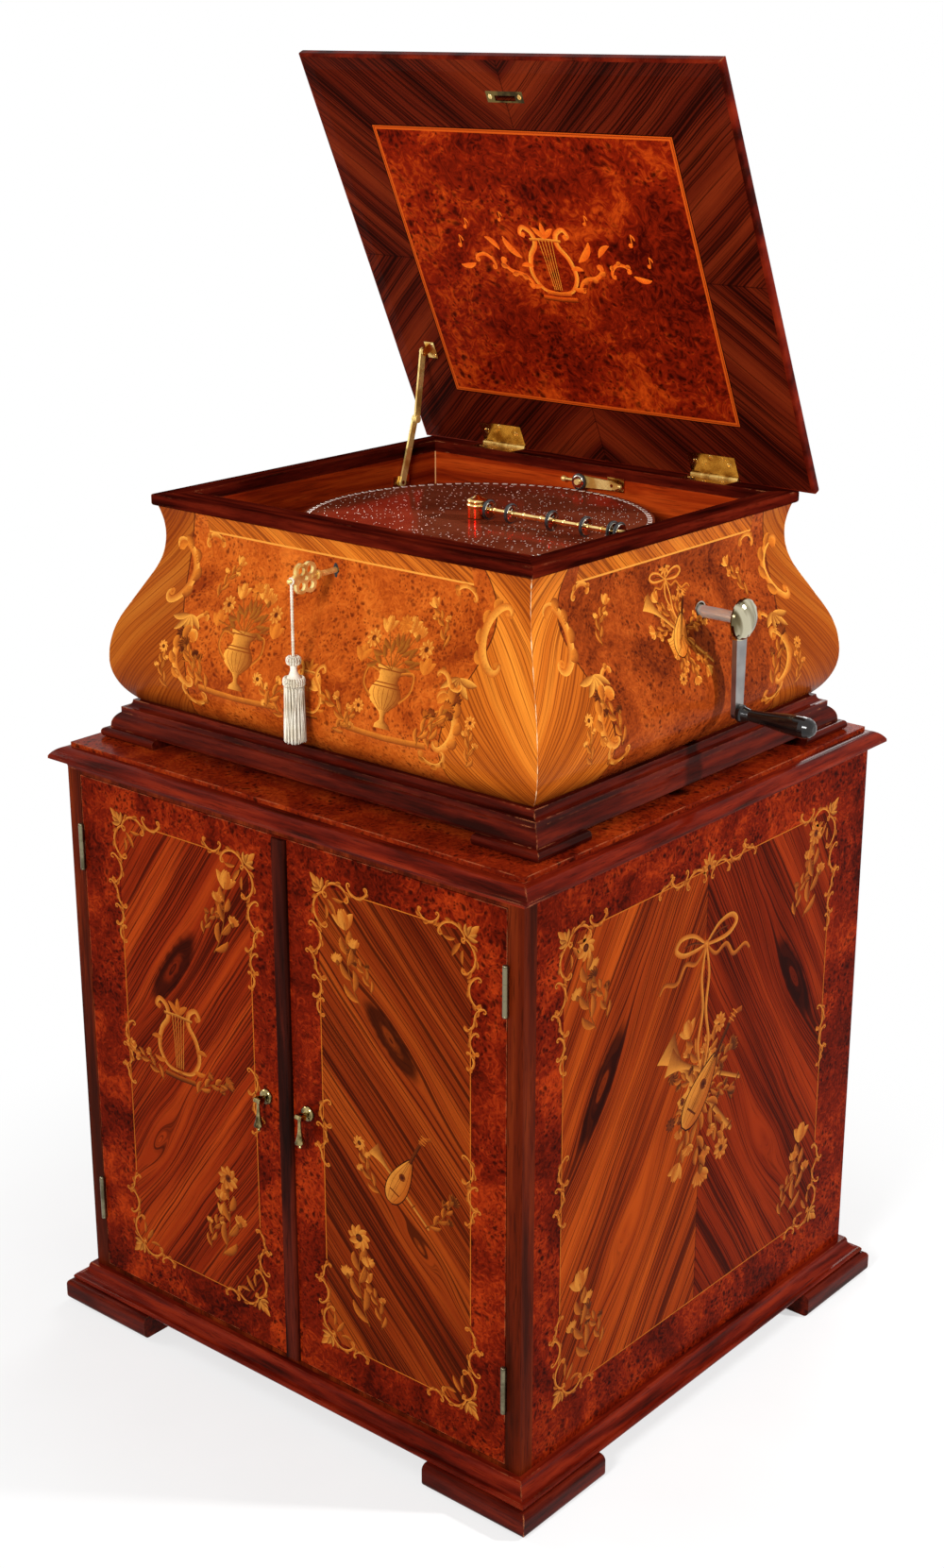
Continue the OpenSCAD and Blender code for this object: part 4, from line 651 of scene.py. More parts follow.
# Floor, world and lights

FLOOR_R = 14.0
FLOOR_Z = -0.0004
# Name, place, aim, size and power of each lamp
LAMPS = (
    ("front", (0.8, -3.0, 2.1), (0, 0, 0.7), 0.9, 90),
    ("right", (2.7, 1.4, 2.3), (0, 0, 0.8), 0.18, 100),
    ("left", (-2.8, -1.0, 2.0), (0, 0, 0.8), 1.2, 28),
    ("behind", (-1.0, 2.8, 2.4), (0, 0, 0.8), 1.4, 32),
)


def turns(n):
    """n angles round a circle."""
    return [2 * pi * i / n for i in range(n)]


def studio():
    floor_mesh = bpy.data.meshes.new("floor")
    ring = [(FLOOR_R * cos(k), FLOOR_R * sin(k), FLOOR_Z) for k in turns(64)]
    floor_mesh.from_pydata(ring, [], [list(range(64))])
    floor = bpy.data.objects.new("floor", floor_mesh)
    scene.collection.objects.link(floor)
    t = Tree("pale_floor")
    pale = [(k, k, k, 1) for k in (0.86, 0.9)]
    t.finish(t.ramp(t.noise(t.p, 7, 3.0), (0.3, 0.7), pale), 0.7, spec=0.2)
    glow = t.add("Emission", {"Color": (1, 1, 1, 1)})
    away_from = (t.x * t.x + t.y * t.y).sqrt().step(0.45, 0.9)
    t.blend(t.seen() * (0.6 + 0.4 * away_from), t.bsdf.outputs[0], glow, t.nt.nodes["Material Output"])
    floor_mesh.materials.append(t.mat)

    world = bpy.data.worlds.new("studio")
    scene.world = world
    world.use_nodes = True
    w = Nodes(world.node_tree)
    w.nt.nodes.clear()
    soft = w.add("Background", {"Color": (1.0, 0.98, 0.95, 1), "Strength": 0.28})
    white = w.add("Background", {"Color": (1, 1, 1, 1), "Strength": 1.0})
    w.blend(w.seen(), soft, white, w.nt.nodes.new("ShaderNodeOutputWorld"))

    for name, at, aim, size, power in LAMPS:
        data = bpy.data.lights.new(name, "AREA")
        data.shape = "DISK"
        data.size = size
        data.energy = power
        lamp = bpy.data.objects.new(name, data)
        lamp.location = at
        lamp.rotation_euler = (Vector(aim) - Vector(at)).to_track_quat("-Z", "Y").to_euler()
        scene.collection.objects.link(lamp)


studio()


# Mesh helpers


class Mesh:
    """Collects vertices, faces and vertex colours for one piece."""

    def __init__(self):
        self.v = []
        self.f = []
        self.c = []

    def point(self, p, c=(1, 1, 1, 1)):
        self.v.append(tuple(p))
        self.c.append(tuple(c))
        return len(self.v) - 1

    def face(self, side, *corners):
        """A face, turned over where side is below 0."""
        self.f.append(corners if side > 0 else corners[::-1])

    def strip(self, a, b, side=1):
        """Faces between two open rows of points."""
        for i in range(len(a) - 1):
            self.face(side, a[i], a[i + 1], b[i + 1], b[i])

    def ring(self, at, x, y, r, n):
        return [self.point(at + (x * cos(k) + y * sin(k)) * r) for k in turns(n)]

    def skin(self, rows, caps=True):
        """Faces between closed rows of points, and over the first and the last one."""
        for a, b in zip(rows, rows[1:]):
            self.strip(a + a[:1], b + b[:1])
        if caps:
            self.face(-1, *rows[0])
            self.face(1, *rows[-1])

    def lathe(self, outline, at, axis, n=32):
        """Turns [(r, h)], in millimetres, about an axis through at."""
        z = Vector(axis).normalized()
        x = z.orthogonal().normalized()
        y = z.cross(x)
        self.skin([self.ring(Vector(at) + z * (h * MM), x, y, r * MM, n) for r, h in outline])

    def tube(self, path, radius, n):
        """A round tube along a path."""
        pts = [Vector(p) for p in path]
        normal = (pts[1] - pts[0]).normalized().orthogonal()
        rows = []
        for i, p in enumerate(pts):
            d = (pts[min(i + 1, len(pts) - 1)] - pts[max(i - 1, 0)]).normalized()
            normal = (normal - d * normal.dot(d)).normalized()
            rows.append(self.ring(p, normal, d.cross(normal), radius, n))
        self.skin(rows)

    def build(self, name, material, body, slot, smooth=True, colours=False):
        mesh = bpy.data.meshes.new(name)
        mesh.from_pydata(self.v, [], self.f)
        if colours:
            layer = mesh.color_attributes.new("tone", "FLOAT_COLOR", "POINT")
            for i, c in enumerate(self.c):
                layer.data[i].color = c
        for poly in mesh.polygons:
            poly.use_smooth = smooth
        mesh.materials.append(material)
        mesh.update()
        o = bpy.data.objects.new(name, mesh)
        scene.collection.objects.link(o)
        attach(o, body)
        return o


# Marquetry, drawn flat in millimetres and laid on the panels

PALE = srgb(226, 148, 58)
AMBER = srgb(208, 116, 36)
HONEY = srgb(178, 86, 24)
BROWN = srgb(126, 54, 17)
UMBER = srgb(56, 20, 8)
OLIVE = srgb(156, 90, 27)
LIGHT = (PALE, HONEY)
DARK = (HONEY, UMBER)


def trace(p, heading, parts, step):
    """Points along a curve given as (length, curvature at start, curvature at end)."""
    x, y = p
    a = radians(heading)
    out = [(x, y)]
    for length, k0, k1 in parts:
        n = max(3, int(length / step))
        ds = length / n
        for i in range(n):
            a += (k0 + (k1 - k0) * (i + 0.5) / n) * ds
            x += cos(a) * ds
            y += sin(a) * ds
            out.append((x, y))
    return out


def smooth(pts, n=6):
    """A smooth curve through the points."""
    out = []
    for i in range(len(pts) - 1):
        four = [pts[min(max(i + k, 0), len(pts) - 1)] for k in (-1, 0, 1, 2)]
        for j in range(n):
            t = j / n
            row = []
            for p0, p1, p2, p3 in zip(*four):
                square = 2 * p0 - 5 * p1 + 4 * p2 - p3
                cube = 3 * p1 - p0 - 3 * p2 + p3
                row.append(p1 + ((p2 - p0) * t + square * t * t + cube * t ** 3) / 2)
            out.append(tuple(row))
    out.append(pts[-1])
    return out


def direction(pts, j):
    """Heading of a curve at its point j, in degrees."""
    return degrees(atan2(pts[j + 1][1] - pts[j][1], pts[j + 1][0] - pts[j][0]))


def taper(w, ends):
    return lambda s: w * (ends + (1 - ends) * sin(pi * s) ** 0.7)


def leaf_shape(w):
    return lambda s: w * sin(pi * (s * 0.96 + 0.02)) ** 0.75 + 0.1


class Inlay:
    """One panel's marquetry, with a placement for the motif in hand."""

    def __init__(self, tint):
        self.tint = tint
        self.m = Mesh()
        self.order = 0
        self.level = 0

    def put(self, u=0.0, v=0.0, mu=1, turn=0.0, size=1.0, mv=1):
        """Places the next motif: mu and mv are -1 to mirror it."""
        c = cos(radians(turn)) * size
        s = sin(radians(turn)) * size
        self.size = size
        self.map = lambda p: (u + mu * (c * p[0] - s * p[1]), v + mv * (s * p[0] + c * p[1]))

    def compose(self, *rows):
        """Draws motifs, each given as its placement, its function and the rest."""
        for place, motif, *rest in rows:
            self.put(*place)
            motif(self, *rest)

    def ribbon(self, pts, width, left, right):
        self.order += 1
        lift = 0.1 + 0.12 * self.level + 0.004 * (self.order % 30)
        left, right = (tuple(min(1.0, a * b) for a, b in zip(c, self.tint)) + (1.0,) for c in (left, right))
        mid = tuple((a + b) / 2 for a, b in zip(left, right))
        pts = [self.map(p) for p in pts]
        n = len(pts)
        prev = None
        for i, (x, y) in enumerate(pts):
            a = pts[max(i - 1, 0)]
            b = pts[min(i + 1, n - 1)]
            dx = b[0] - a[0]
            dy = b[1] - a[1]
            w = (width(i / (n - 1)) if callable(width) else width) * self.size / 2
            k = w / (hypot(dx, dy) or 1.0)
            across = ((k, left), (0.0, mid), (-k, right))
            row = [self.m.point((x - dy * q, y + dx * q, lift), c) for q, c in across]
            if prev:
                self.m.strip(prev, row)
            prev = row

    def stroke(self, k, pts, w, left, right=None, s=1):
        """A ribbon along points times k, mirrored where s is -1; w is a number or a function."""
        width = w if callable(w) else lambda q: w
        self.ribbon([(s * x * k, y * k) for x, y in pts], lambda q: width(q) * k, left, right or left)

    def curve(self, k, pts, *rest):
        """A stroke that bends smoothly through its points."""
        self.stroke(k, smooth(pts), *rest)

    def dot(self, p, r, tone=AMBER, edge=HONEY):
        arc = [(p[0] + r * 0.5 * cos(k), p[1] + r * 0.5 * sin(k)) for k in turns(18)]
        self.ribbon(arc + arc[:1], r, tone, edge)

    def leaf(self, p, heading, length, bend, w, left=AMBER, right=HONEY):
        k = bend / length
        curve = trace(p, heading, [(length, k * 0.4, k * 1.6)], length / 7)
        self.ribbon(curve, leaf_shape(w), left, right)

    def lay(self, name, body, surface):
        """surface(u, v) gives a point in metres and the outward normal."""
        outs = []
        for i, (u, v, lift) in enumerate(self.m.v):
            p, n = surface(u, v)
            outs.append(n)
            self.m.v[i] = tuple(p + n * (lift * MM))
        for i, f in enumerate(self.m.f):
            a, b, c = (Vector(self.m.v[j]) for j in f[:3])
            if (b - a).cross(c - a).dot(outs[f[0]]) < 0:
                self.m.f[i] = f[::-1]
        self.m.build(name, inlay_mat, body, "rosewood", True, True)


def inlay_wood():
    t = Tree("inlay_wood")
    tone = t.add("VertexColor", out="Color", layer_name="tone")
    fine = t.noise(t.p, 420, 3.0, 0.6)
    c = t.mix(t.noise(t.p, 70, 3.0).step(0.35, 0.65) * 0.14, tone, UMBER)
    c = t.mix(fine.step(0.5, 0.35) * 0.16, c, UMBER)
    t.bump(fine, 0.00005, 0.4)
    return t.lacquer(c, 0.18, 0.12, 70)


inlay_mat = inlay_wood()


def scroll(d, p, heading, length, hand, w, ess=False, leaves=3, pair=LIGHT):
    """A C or S scroll centred on p, with curled ends and leaves on its outer side."""
    k = 2.3 / length * hand
    end = 27 / length * hand

    def half(turn, f):
        parts = [(length * 0.46, f * k, f * k), (length * 0.27, f * k, f * end)]
        return trace(p, heading + turn, parts, length / 30)

    fore = half(0, 1)
    pts = half(180, 1 if ess else -1)[:0:-1] + fore
    d.ribbon(pts, taper(w, 0.32), *pair[::hand])
    d.dot(pts[0], w * 0.4)
    d.dot(pts[-1], w * 0.4)
    for i in range(leaves):
        j = int(len(pts) * (0.3 + 0.4 * i / max(1, leaves - 1)))
        d.leaf(pts[j], direction(pts, j) - hand * 38, length * 0.2, hand * 0.9, w * 1.2, AMBER, BROWN)
    turn = heading + degrees(k * length / 2) + hand * 32
    d.leaf(fore[int(len(fore) * 0.55)], turn, length * 0.2, hand, w)


def palmette(d, heading, size, n=5):
    for i in range(n):
        k = i - (n - 1) / 2
        d.leaf((0, 0), heading + k * 30, size * (1 - 0.1 * abs(k)), k * 0.35, size * 0.3, *LIGHT)
    d.dot((0, 0), size * 0.17, BROWN, UMBER)


def flower(d, p, r, kind, pair):
    if kind == "daisy":
        for i in range(9):
            d.leaf(p, i * 40 + 8, r, 0.5, r * 0.55, *pair)
        d.dot(p, r * 0.3, UMBER, BROWN)
    elif kind == "tulip":
        for a, b in ((62, -0.5), (118, 0.5), (76, 0.2), (104, -0.2), (90, 0)):
            d.leaf((p[0], p[1] - r * 0.6), a, r * 1.7, b, r * 0.75, *pair)
    else:
        for i in range(7):
            d.leaf((p[0], p[1] - r * 0.5), 36 + i * 18, r * (1.25 + 0.15 * (i % 2)), 0, r * 0.6, *pair)
        d.leaf((p[0], p[1] - r * 0.9), 90, r * 0.8, 0, r * 0.6, OLIVE, BROWN)


def spray(d, kind, size, pair=LIGHT, sway=1):
    """A stem that grows up from the origin, with leaves, buds and a flower on top."""
    k = 0.9 / size * sway
    step = size / 24
    stem = trace((0, 0), 90 - 22 * sway, [(size * 0.62, k, k), (size * 0.38, k * 0.4, -k)], step)
    d.ribbon(stem, lambda s: 1.5 - 0.6 * s, OLIVE, BROWN)
    for i, f in enumerate((0.08, 0.2, 0.33, 0.46, 0.6, 0.74)):
        j = int(len(stem) * f)
        a = direction(stem, j)
        side = 1 if i % 2 else -1
        d.leaf(stem[j], a + side * 46, size * (0.3 - 0.14 * f), side * -0.9, size * 0.09, AMBER, BROWN)
        if i in (2, 3):
            twig = trace(stem[j], a + side * 30, [(size * 0.3, -side * 1.6 / size, side * 2.2 / size)], step)
            d.ribbon(twig, 0.9, OLIVE, BROWN)
            flower(d, twig[-1], size * 0.09, "bud", pair)
    flower(d, stem[-1], size * 0.15, kind, pair)


def posy(d, rows, sizes, pairs):
    """Sprays that grow out of one place, each with its direction and kind."""
    u, v = d.map((0, 0))
    for (a, kind), size, pair in zip(rows, sizes, pairs):
        d.put(u, v, 1, a)
        spray(d, kind, size, pair, 1 if a > 0 else -1)


BOW_LOOP = ((0, 0), (0.28, 0.2), (0.56, 0.24), (0.68, 0.12), (0.52, 0.0), (0.26, -0.02), (0, 0))
BOW_FOLD = ((0.05, 0.02), (0.3, 0.1), (0.5, 0.1))
BOW_TAIL = ((0, 0), (0.22, -0.2), (0.46, -0.14), (0.64, -0.34), (0.9, -0.28), (1.02, -0.38))


def bow(d, size):
    """A ribbon bow with its knot at the origin and two long tails."""
    for s in (-1, 1):
        d.curve(size, BOW_LOOP, taper(0.075, 0.4), *LIGHT, s)
        d.curve(size, BOW_FOLD, taper(0.03, 0.3), BROWN, UMBER, s)
        d.curve(size, BOW_TAIL, taper(0.07, 0.5), AMBER, BROWN, s)
    d.dot((0, 0), size * 0.06, *LIGHT)


LYRE_ARM = ((3, -38), (20, -34), (31, -16), (27, 6), (16, 22), (17, 36), (28, 43), (34, 35), (28, 31))


def lyre(d, size):
    """A lyre about as high as size, centred on the origin."""
    k = size / 100
    for s in (-1, 1):
        d.curve(k, LYRE_ARM, taper(6.5, 0.4), *LIGHT[::-s], s)
        d.dot((s * 29 * k, 34 * k), 3 * k)
        d.leaf((s * 27 * k, -6 * k), 90 - s * 70, 17 * k, s * -0.8, 6 * k)
        d.leaf((s * 22 * k, -30 * k), 90 - s * 110, 19 * k, s * 0.9, 6 * k)
    d.stroke(k, [(-22, 28), (0, 29), (22, 28)], 3.6, PALE, BROWN)
    for i in range(-2, 3):
        d.stroke(k, [(i * 4.6, 28), (i * 3.4, 0), (i * 2.6, -34)], max(0.45 / k, 0.7), PALE)
    d.stroke(k, [(-17, -38), (0, -39), (17, -38)], 5, AMBER, BROWN)
    d.stroke(k, [(-24, -45), (0, -46), (24, -45)], 6, HONEY, UMBER)
    for a in (52, 90, 128):
        d.leaf((0, 30 * k), a, 20 * k, (90 - a) * -0.01, 7 * k)


def lute(d, size):
    """A round-backed lute along +v, its body at the origin."""
    k = size / 100
    for grow, pair in ((2.4, (UMBER, UMBER)), (0, LIGHT)):

        def width(s):
            return grow + 40 * sqrt(sin(pi * (0.01 + 0.97 * s))) * (1 - 0.58 * s)

        d.stroke(k, [(0, -38 - grow * 0.5 + (70 + grow) * i / 24) for i in range(25)], width, *pair)
    for x in (-9, 0, 9):
        d.curve(k, [(x * 0.25, 30), (x * 0.9, 4), (x, -14), (x * 0.5, -35)], 0.5, BROWN)
    d.stroke(k, [(0, 29), (0, 64)], 4.6, BROWN, UMBER)
    d.curve(k, [(0, 62), (2, 72), (10, 80)], 5, HONEY, BROWN)
    for y in (66, 70, 74):
        d.stroke(k, [(-4, y), (6, y)], 1.1, AMBER)
    d.dot((0, 4 * k), 5 * k, UMBER, BROWN)
    d.stroke(k, [(-8, -22), (8, -22)], 2, UMBER, BROWN)
    for i in (-1.5, -0.5, 0.5, 1.5):
        d.stroke(k, [(i * 2, -22), (i * 0.9, 62)], max(0.35 / k, 0.4), UMBER)


def horn(d, size):
    """A straight horn along +v with a flared mouth."""
    k = size / 100

    def width(s):
        return 3.2 + 1.6 * s + 18 * max(0.0, (s - 0.72) / 0.28) ** 2

    d.stroke(k, [(0, y) for y in range(-50, 56, 5)], width, PALE, BROWN)
    for y in (-46, -20, 8):
        d.stroke(k, [(-3.4, y), (3.4, y)], 2, HONEY, UMBER)


def sheet_of_music(d, size):
    k = size / 100
    d.curve(k, [(-40, 4), (-14, -3), (14, 4), (40, -2)], 44, PALE, AMBER)
    for v in (-14, -7, 0, 7, 14):
        d.curve(k, [(-36, v + 4), (-14, v - 2), (14, v + 4), (36, v - 1)], 0.8, BROWN)


def note(d, size):
    k = size / 10
    d.dot((0, 0), 2.1 * k)
    d.stroke(k, [(1.6, 0.4), (1.9, 9.5)], 0.8, AMBER)
    d.curve(k, [(1.9, 9.5), (4, 7), (5, 4.2)], taper(1.6, 0.3), AMBER, HONEY)


def chain(d, start, heading, lengths, hand):
    """Scrolls in a row along a border, turning to one side and the other."""
    c = cos(radians(heading))
    s = sin(radians(heading))
    x, y = start
    for i, n in enumerate(lengths):
        side = -hand if i % 2 else hand
        off = side * n * 0.1
        p = (x + c * n * 0.36 + s * off, y + s * n * 0.36 - c * off)
        scroll(d, p, heading, n, side, 3.2, i % 3 == 2, 3 if n > 26 else 2)
        x += c * n * 0.74
        y += s * n * 0.74


def corner(d, long_v, long_u, full):
    """Scrolls out of the corner of a panel that lies to the lower left of the origin."""
    d.leaf((-3, -3), 45, 20, 0.0, 7.5, *LIGHT)
    for s, a in ((1, 6), (-1, 84), (1, -26), (-1, 116)):
        d.leaf((-4, -4), a, 14, s * 0.7, 5, PALE, BROWN)
    chain(d, (-8, 2), 180, (46, 36) if full else (42, 28), 1)
    chain(d, (2, -8), 270, (50, 44, 38, 32, 26) if full else (46, 40, 32), -1)
    d.leaf((-13, -13), 225, 20, 0.4, 6, AMBER, BROWN)
    d.leaf((-10, -20), 250, 16, 0.7, 4.6, AMBER, BROWN)
    d.leaf((-20, -10), 200, 16, -0.7, 4.6, AMBER, BROWN)
    d.ribbon(trace((0, -100), 270, [(long_v + 56, 0, 0)], 6), 1.2, AMBER, AMBER)
    d.ribbon(trace((-56, 0), 180, [(long_u + 34, 0, 0)], 6), 1.2, AMBER, AMBER)


DARK_TINT = (0.7, 0.64, 0.56)
CASE_TINT = (1.05, 1.08, 1.0)
LID_TINT = (1.9, 1.15, 0.75)
UPRIGHT_SCROLLS = (chain, (0, 48), 270, (42, 36, 28), -1)


def flat(origin, across):
    """An upright plane through a place, as (distance across, height) from there."""
    o = Vector(origin)
    u3 = Vector(across)
    v3 = Vector((0, 0, 1))
    return lambda u, v: (o + u3 * (u * MM) + v3 * (v * MM), u3.cross(v3))


def door_inlay(door, x, flip, *trophy):
    d = Inlay(DARK_TINT)
    hu = 103.5
    hv = 271.5
    for mu in (-1, 1):
        for mv in (-1, 1):
            d.put(mu * hu, mv * hv, mu, mv=mv)
            corner(d, hv - 156, hu - 90, mv > 0)
        d.compose(((mu * hu, -24, mu), *UPRIGHT_SCROLLS))
    d.compose(
        ((flip * 46, 150, flip, -14), spray, "tulip", 92),
        ((flip * 30, 168, -flip, 34, 0.7), spray, "carnation", 70, DARK),
        ((flip * 40, -232, flip, -8), spray, "daisy", 108),
        ((flip * 22, -228, -flip, 20, 0.75), spray, "tulip", 80),
        *trophy,
    )
    d.lay(door + "_inlay", door, flat((x, -0.318, 0.3765), (1, 0, 0)))


door_inlay(
    "left_door", -0.1485, 1,
    ((-18, 24), lyre, 104),
    ((-46, -34, 1, 62), spray, "daisy", 62),
    ((8, -34, -1, 62), spray, "carnation", 62, DARK),
)
door_inlay(
    "right_door", 0.162, -1,
    ((8, -34, 1, -28), lute, 92),
    ((10, -46, 1, 48), horn, 100),
    ((-22, -62, -1, -30), spray, "daisy", 60),
    ((46, -76, 1, -40), spray, "carnation", 56, DARK),
)

SIDE_SPRAYS = (
    (18, "tulip"), (-22, "daisy"), (52, "daisy"), (-56, "carnation"), (150, "tulip"),
    (-152, "daisy"), (182, "carnation"), (104, "daisy"), (-106, "tulip"),
)
SIDE_SIZES = (92, 84, 70, 74, 88, 96, 104, 60, 62)
SIDE_PAIRS = (LIGHT, LIGHT, DARK, DARK, LIGHT, LIGHT, LIGHT, (UMBER, BROWN), DARK)


def side_inlay(name, s):
    d = Inlay(DARK_TINT)
    hu = 250.5
    hv = 262.5
    for mu in (-1, 1):
        for mv, kind, v0, v1 in ((-1, "tulip", -238, -234), (1, "daisy", 146, 152)):
            d.put(mu * hu, mv * hv, mu, mv=mv)
            corner(d, hv - 156, hu - 90, mv > 0)
            d.compose(
                ((mu * 196, v0, mu, -12), spray, kind, 100),
                ((mu * 178, v1, -mu, 24, 0.8), spray, "carnation", 78, DARK),
            )
    for mu in (-1, 1):
        d.compose(
            ((0, hv - 2, mu), chain, (6, 2), 0, (46, 38, 30), -1),
            ((mu * hu, -30, mu), *UPRIGHT_SCROLLS),
        )
    d.compose(((0, hv + 2), palmette, 90, 18, 7), ((0, 176), bow, 84))
    d.put()
    for mu in (-1, 1):
        d.curve(1, [(0, 176), (7, 140), (3, 100), (10, 60), (4, 30)], taper(5, 0.6), *LIGHT, mu)
    d.compose(((-6, 6, 1, 40), sheet_of_music, 96), ((0, 0, 1, 42), horn, 190), ((10, 22, 1, 64), horn, 150))
    d.level = 1
    d.compose(((0, 4, 1, -40), lute, 128))
    d.level = 0
    d.compose(((0, -4), posy, SIDE_SPRAYS, SIDE_SIZES, SIDE_PAIRS))
    d.lay(name, "frame", flat((s * 0.333, -0.0035, 0.3775), (0, s, 0)))


side_inlay("right_side_inlay", 1)
side_inlay("left_side_inlay", -1)

# The case wall's profile in millimetres: a quarter round, a belly, a straight flank and a hollow neck

FLANK = radians(28.9)
BELLY_X = 39
BELLY_Z = 814
FOOT_R = 63
NECK_X = 81.6
NECK_Z = 957
NECK_R = 92
WALL_LOW = 767.0
WALL_TOP = 986.0
NECK_FAR = BELLY_X + NECK_R - NECK_X
BOTH_R = ((NECK_Z - BELLY_Z) * sin(FLANK) - NECK_FAR * cos(FLANK)) / (1 - cos(FLANK))
BELLY_R = BOTH_R - NECK_R
FLANK_LOW = BELLY_Z + BELLY_R * sin(FLANK)
FLANK_TOP = NECK_Z - NECK_R * sin(FLANK)


def swell(z):
    """Reach of the case's wall outside the rim at a height, and its slope, in millimetres."""
    if FLANK_LOW <= z <= FLANK_TOP:
        a = BELLY_X - BELLY_R + BELLY_R * cos(FLANK)
        b = NECK_X - NECK_R * cos(FLANK)
        slope = (b - a) / (FLANK_TOP - FLANK_LOW)
        return a + slope * (z - FLANK_LOW), slope
    if z > FLANK_TOP:
        k = sqrt(NECK_R ** 2 - (z - NECK_Z) ** 2)
        return NECK_X - k, (z - NECK_Z) / k
    r = FOOT_R if z < BELLY_Z else BELLY_R
    k = sqrt(r ** 2 - (z - BELLY_Z) ** 2)
    return BELLY_X - r + k, -(z - BELLY_Z) / k


def wall(half, nx, ny):
    """The surface of the case wall that looks along (nx, ny), as (distance along it, height)."""
    def surface(u, v):
        z = min(WALL_TOP, max(WALL_LOW, v))
        p, slope = swell(z)
        out = half + p
        at = Vector(((nx * out - ny * u) * MM, CASE_Y + (ny * out + nx * u) * MM, z * MM))
        return at, Vector((nx, ny, -slope)).normalized()
    return surface


def end_scrolls(d, x, s):
    """Two stacked scrolls that divide a wall's middle from its end at x; s is the end's side."""
    d.put(s * x, 0, s)
    scroll(d, (10, 922), 90, 82, -1, 9.5, leaves=4)
    scroll(d, (6, 836), 90, 74, 1, 9, leaves=4)
    scroll(d, (-16, 966), 172, 34, 1, 5, leaves=2)
    scroll(d, (-22, 788), 190, 44, -1, 5.6)
    scroll(d, (-14, 876), 120, 34, 1, 4.6, True, 2)
    for a in (20, 55, 90, 125, 160):
        d.leaf((-2, 880), a - 180, 24, 0.4, 7.5, PALE, BROWN)
    d.compose(
        ((s * (x - 28), 806, -s, 26), spray, "carnation", 62, (BROWN, UMBER)),
        ((s * (x + 20), 796, s, -6), spray, "daisy", 48),
        ((s * (x - 34), 902, s, 30, 0.8), spray, "tulip", 58),
    )


URN_WIDTHS = (26, 22, 8, 7, 12, 26, 40, 48, 50, 46, 38, 30, 30, 40, 44)
URN_STEMS = (
    (-58, "daisy", PALE), (-30, "tulip", PALE), (0, "daisy", AMBER), (30, "carnation", PALE),
    (58, "daisy", PALE), (-84, "tulip", AMBER), (84, "tulip", AMBER), (14, "tulip", PALE),
)


def urn(d, size):
    """An urn on a foot, with two handles and a fan of flowers."""
    k = size / 100
    d.stroke(k, [(0, y) for y in range(-40, 31, 5)], lambda s: URN_WIDTHS[round(s * 14)], PALE, BROWN)
    for x in (-17, -10, -3, 4, 11, 18):
        d.curve(k, [(x * 0.3, -18), (x, -4), (x * 1.05, 6)], 0.7, BROWN)
    for y, w in ((8, 22), (12, 19), (26, 19)):
        d.stroke(k, [(-w, y), (w, y)], 1.2, BROWN)
    for s in (-1, 1):
        d.curve(k, [(16, 24), (34, 26), (36, 8), (22, -6)], 3.4, AMBER, BROWN, s)
    for a, kind, tone in URN_STEMS:
        stem = trace((0, 26 * k), 90 - a * 0.8, [(size * 0.5, a * -0.0002, a * 0.0001)], size / 16)
        d.ribbon(stem, 1.2, OLIVE, BROWN)
        for share, s in ((2, 1), (3, -1)):
            spot = stem[len(stem) // share]
            d.leaf(spot, 90 - a + s * 40, size * 0.16, s * -0.6, size * 0.06, OLIVE, BROWN)
        flower(d, stem[-1], size * 0.11, kind, (tone, HONEY))


def front_inlay():
    d = Inlay(CASE_TINT)
    for s in (-1, 1):
        end_scrolls(d, 196, s)
        d.compose(((s * 106, 850, 1, 0, 0.95), urn, 92))
        d.put(s * 106, 808)
        d.ribbon([(-58, 0), (-30, -2), (0, -3), (30, -2), (58, 0)], 7, AMBER, BROWN)
        d.compose(
            ((s * 60, 806, s, 52), spray, "tulip", 60),
            ((s * 152, 806, -s, 40), spray, "carnation", 60, DARK),
        )
    d.compose(
        ((0, 836), lyre, 62),
        ((34, 800, 1, -50), spray, "daisy", 52),
        ((-34, 800, -1, -50), spray, "daisy", 52),
    )
    d.lay("case_front_inlay", "frame", wall(HALF_Y, 0, -1))


END_SPRAYS = (
    (28, "tulip"), (-30, "daisy"), (150, "daisy"), (-148, "tulip"),
    (182, "carnation"), (76, "carnation"), (-80, "daisy"),
)


def end_inlay(name, side):
    d = Inlay(CASE_TINT)
    for s in (-1, 1):
        end_scrolls(d, 166, s)
    d.compose(((-4, 958), palmette, 270, 13), ((-4, 944), bow, 40))
    d.put(-4, 0)
    for s in (-1, 1):
        d.curve(1, [(0, 944), (4, 928), (1, 910), (4, 896)], 2.6, *LIGHT, s)
    d.compose(
        ((-4, 890, 1, 46), horn, 100),
        ((-4, 890, 1, -38), lute, 66),
        ((-14, 884, 1, 22), sheet_of_music, 40),
        ((-4, 888), posy, END_SPRAYS, [46] * 7, [LIGHT] * 7),
    )
    d.lay(name, "frame", wall(HALF_X, side, 0))


front_inlay()
end_inlay("case_right_inlay", 1)
end_inlay("case_left_inlay", -1)

LID_DOWN = Vector((0, -sin(LID_OPEN), -cos(LID_OPEN)))
LID_ALONG = Vector((0, -cos(LID_OPEN), sin(LID_OPEN)))
LID_NOTES = ((-128, 276, 14), (-112, 300, 12), (118, 292, 14), (136, 268, 12), (-58, 312, 11), (62, 314, 11))


def lid_face(u, v):
    """u runs across the lid and v from its hinge to its front edge, on the inner face."""
    return Vector((u * MM, LID_Y, LID_Z)) + LID_ALONG * (v * MM) - LID_DOWN * (0.3 * MM), LID_DOWN


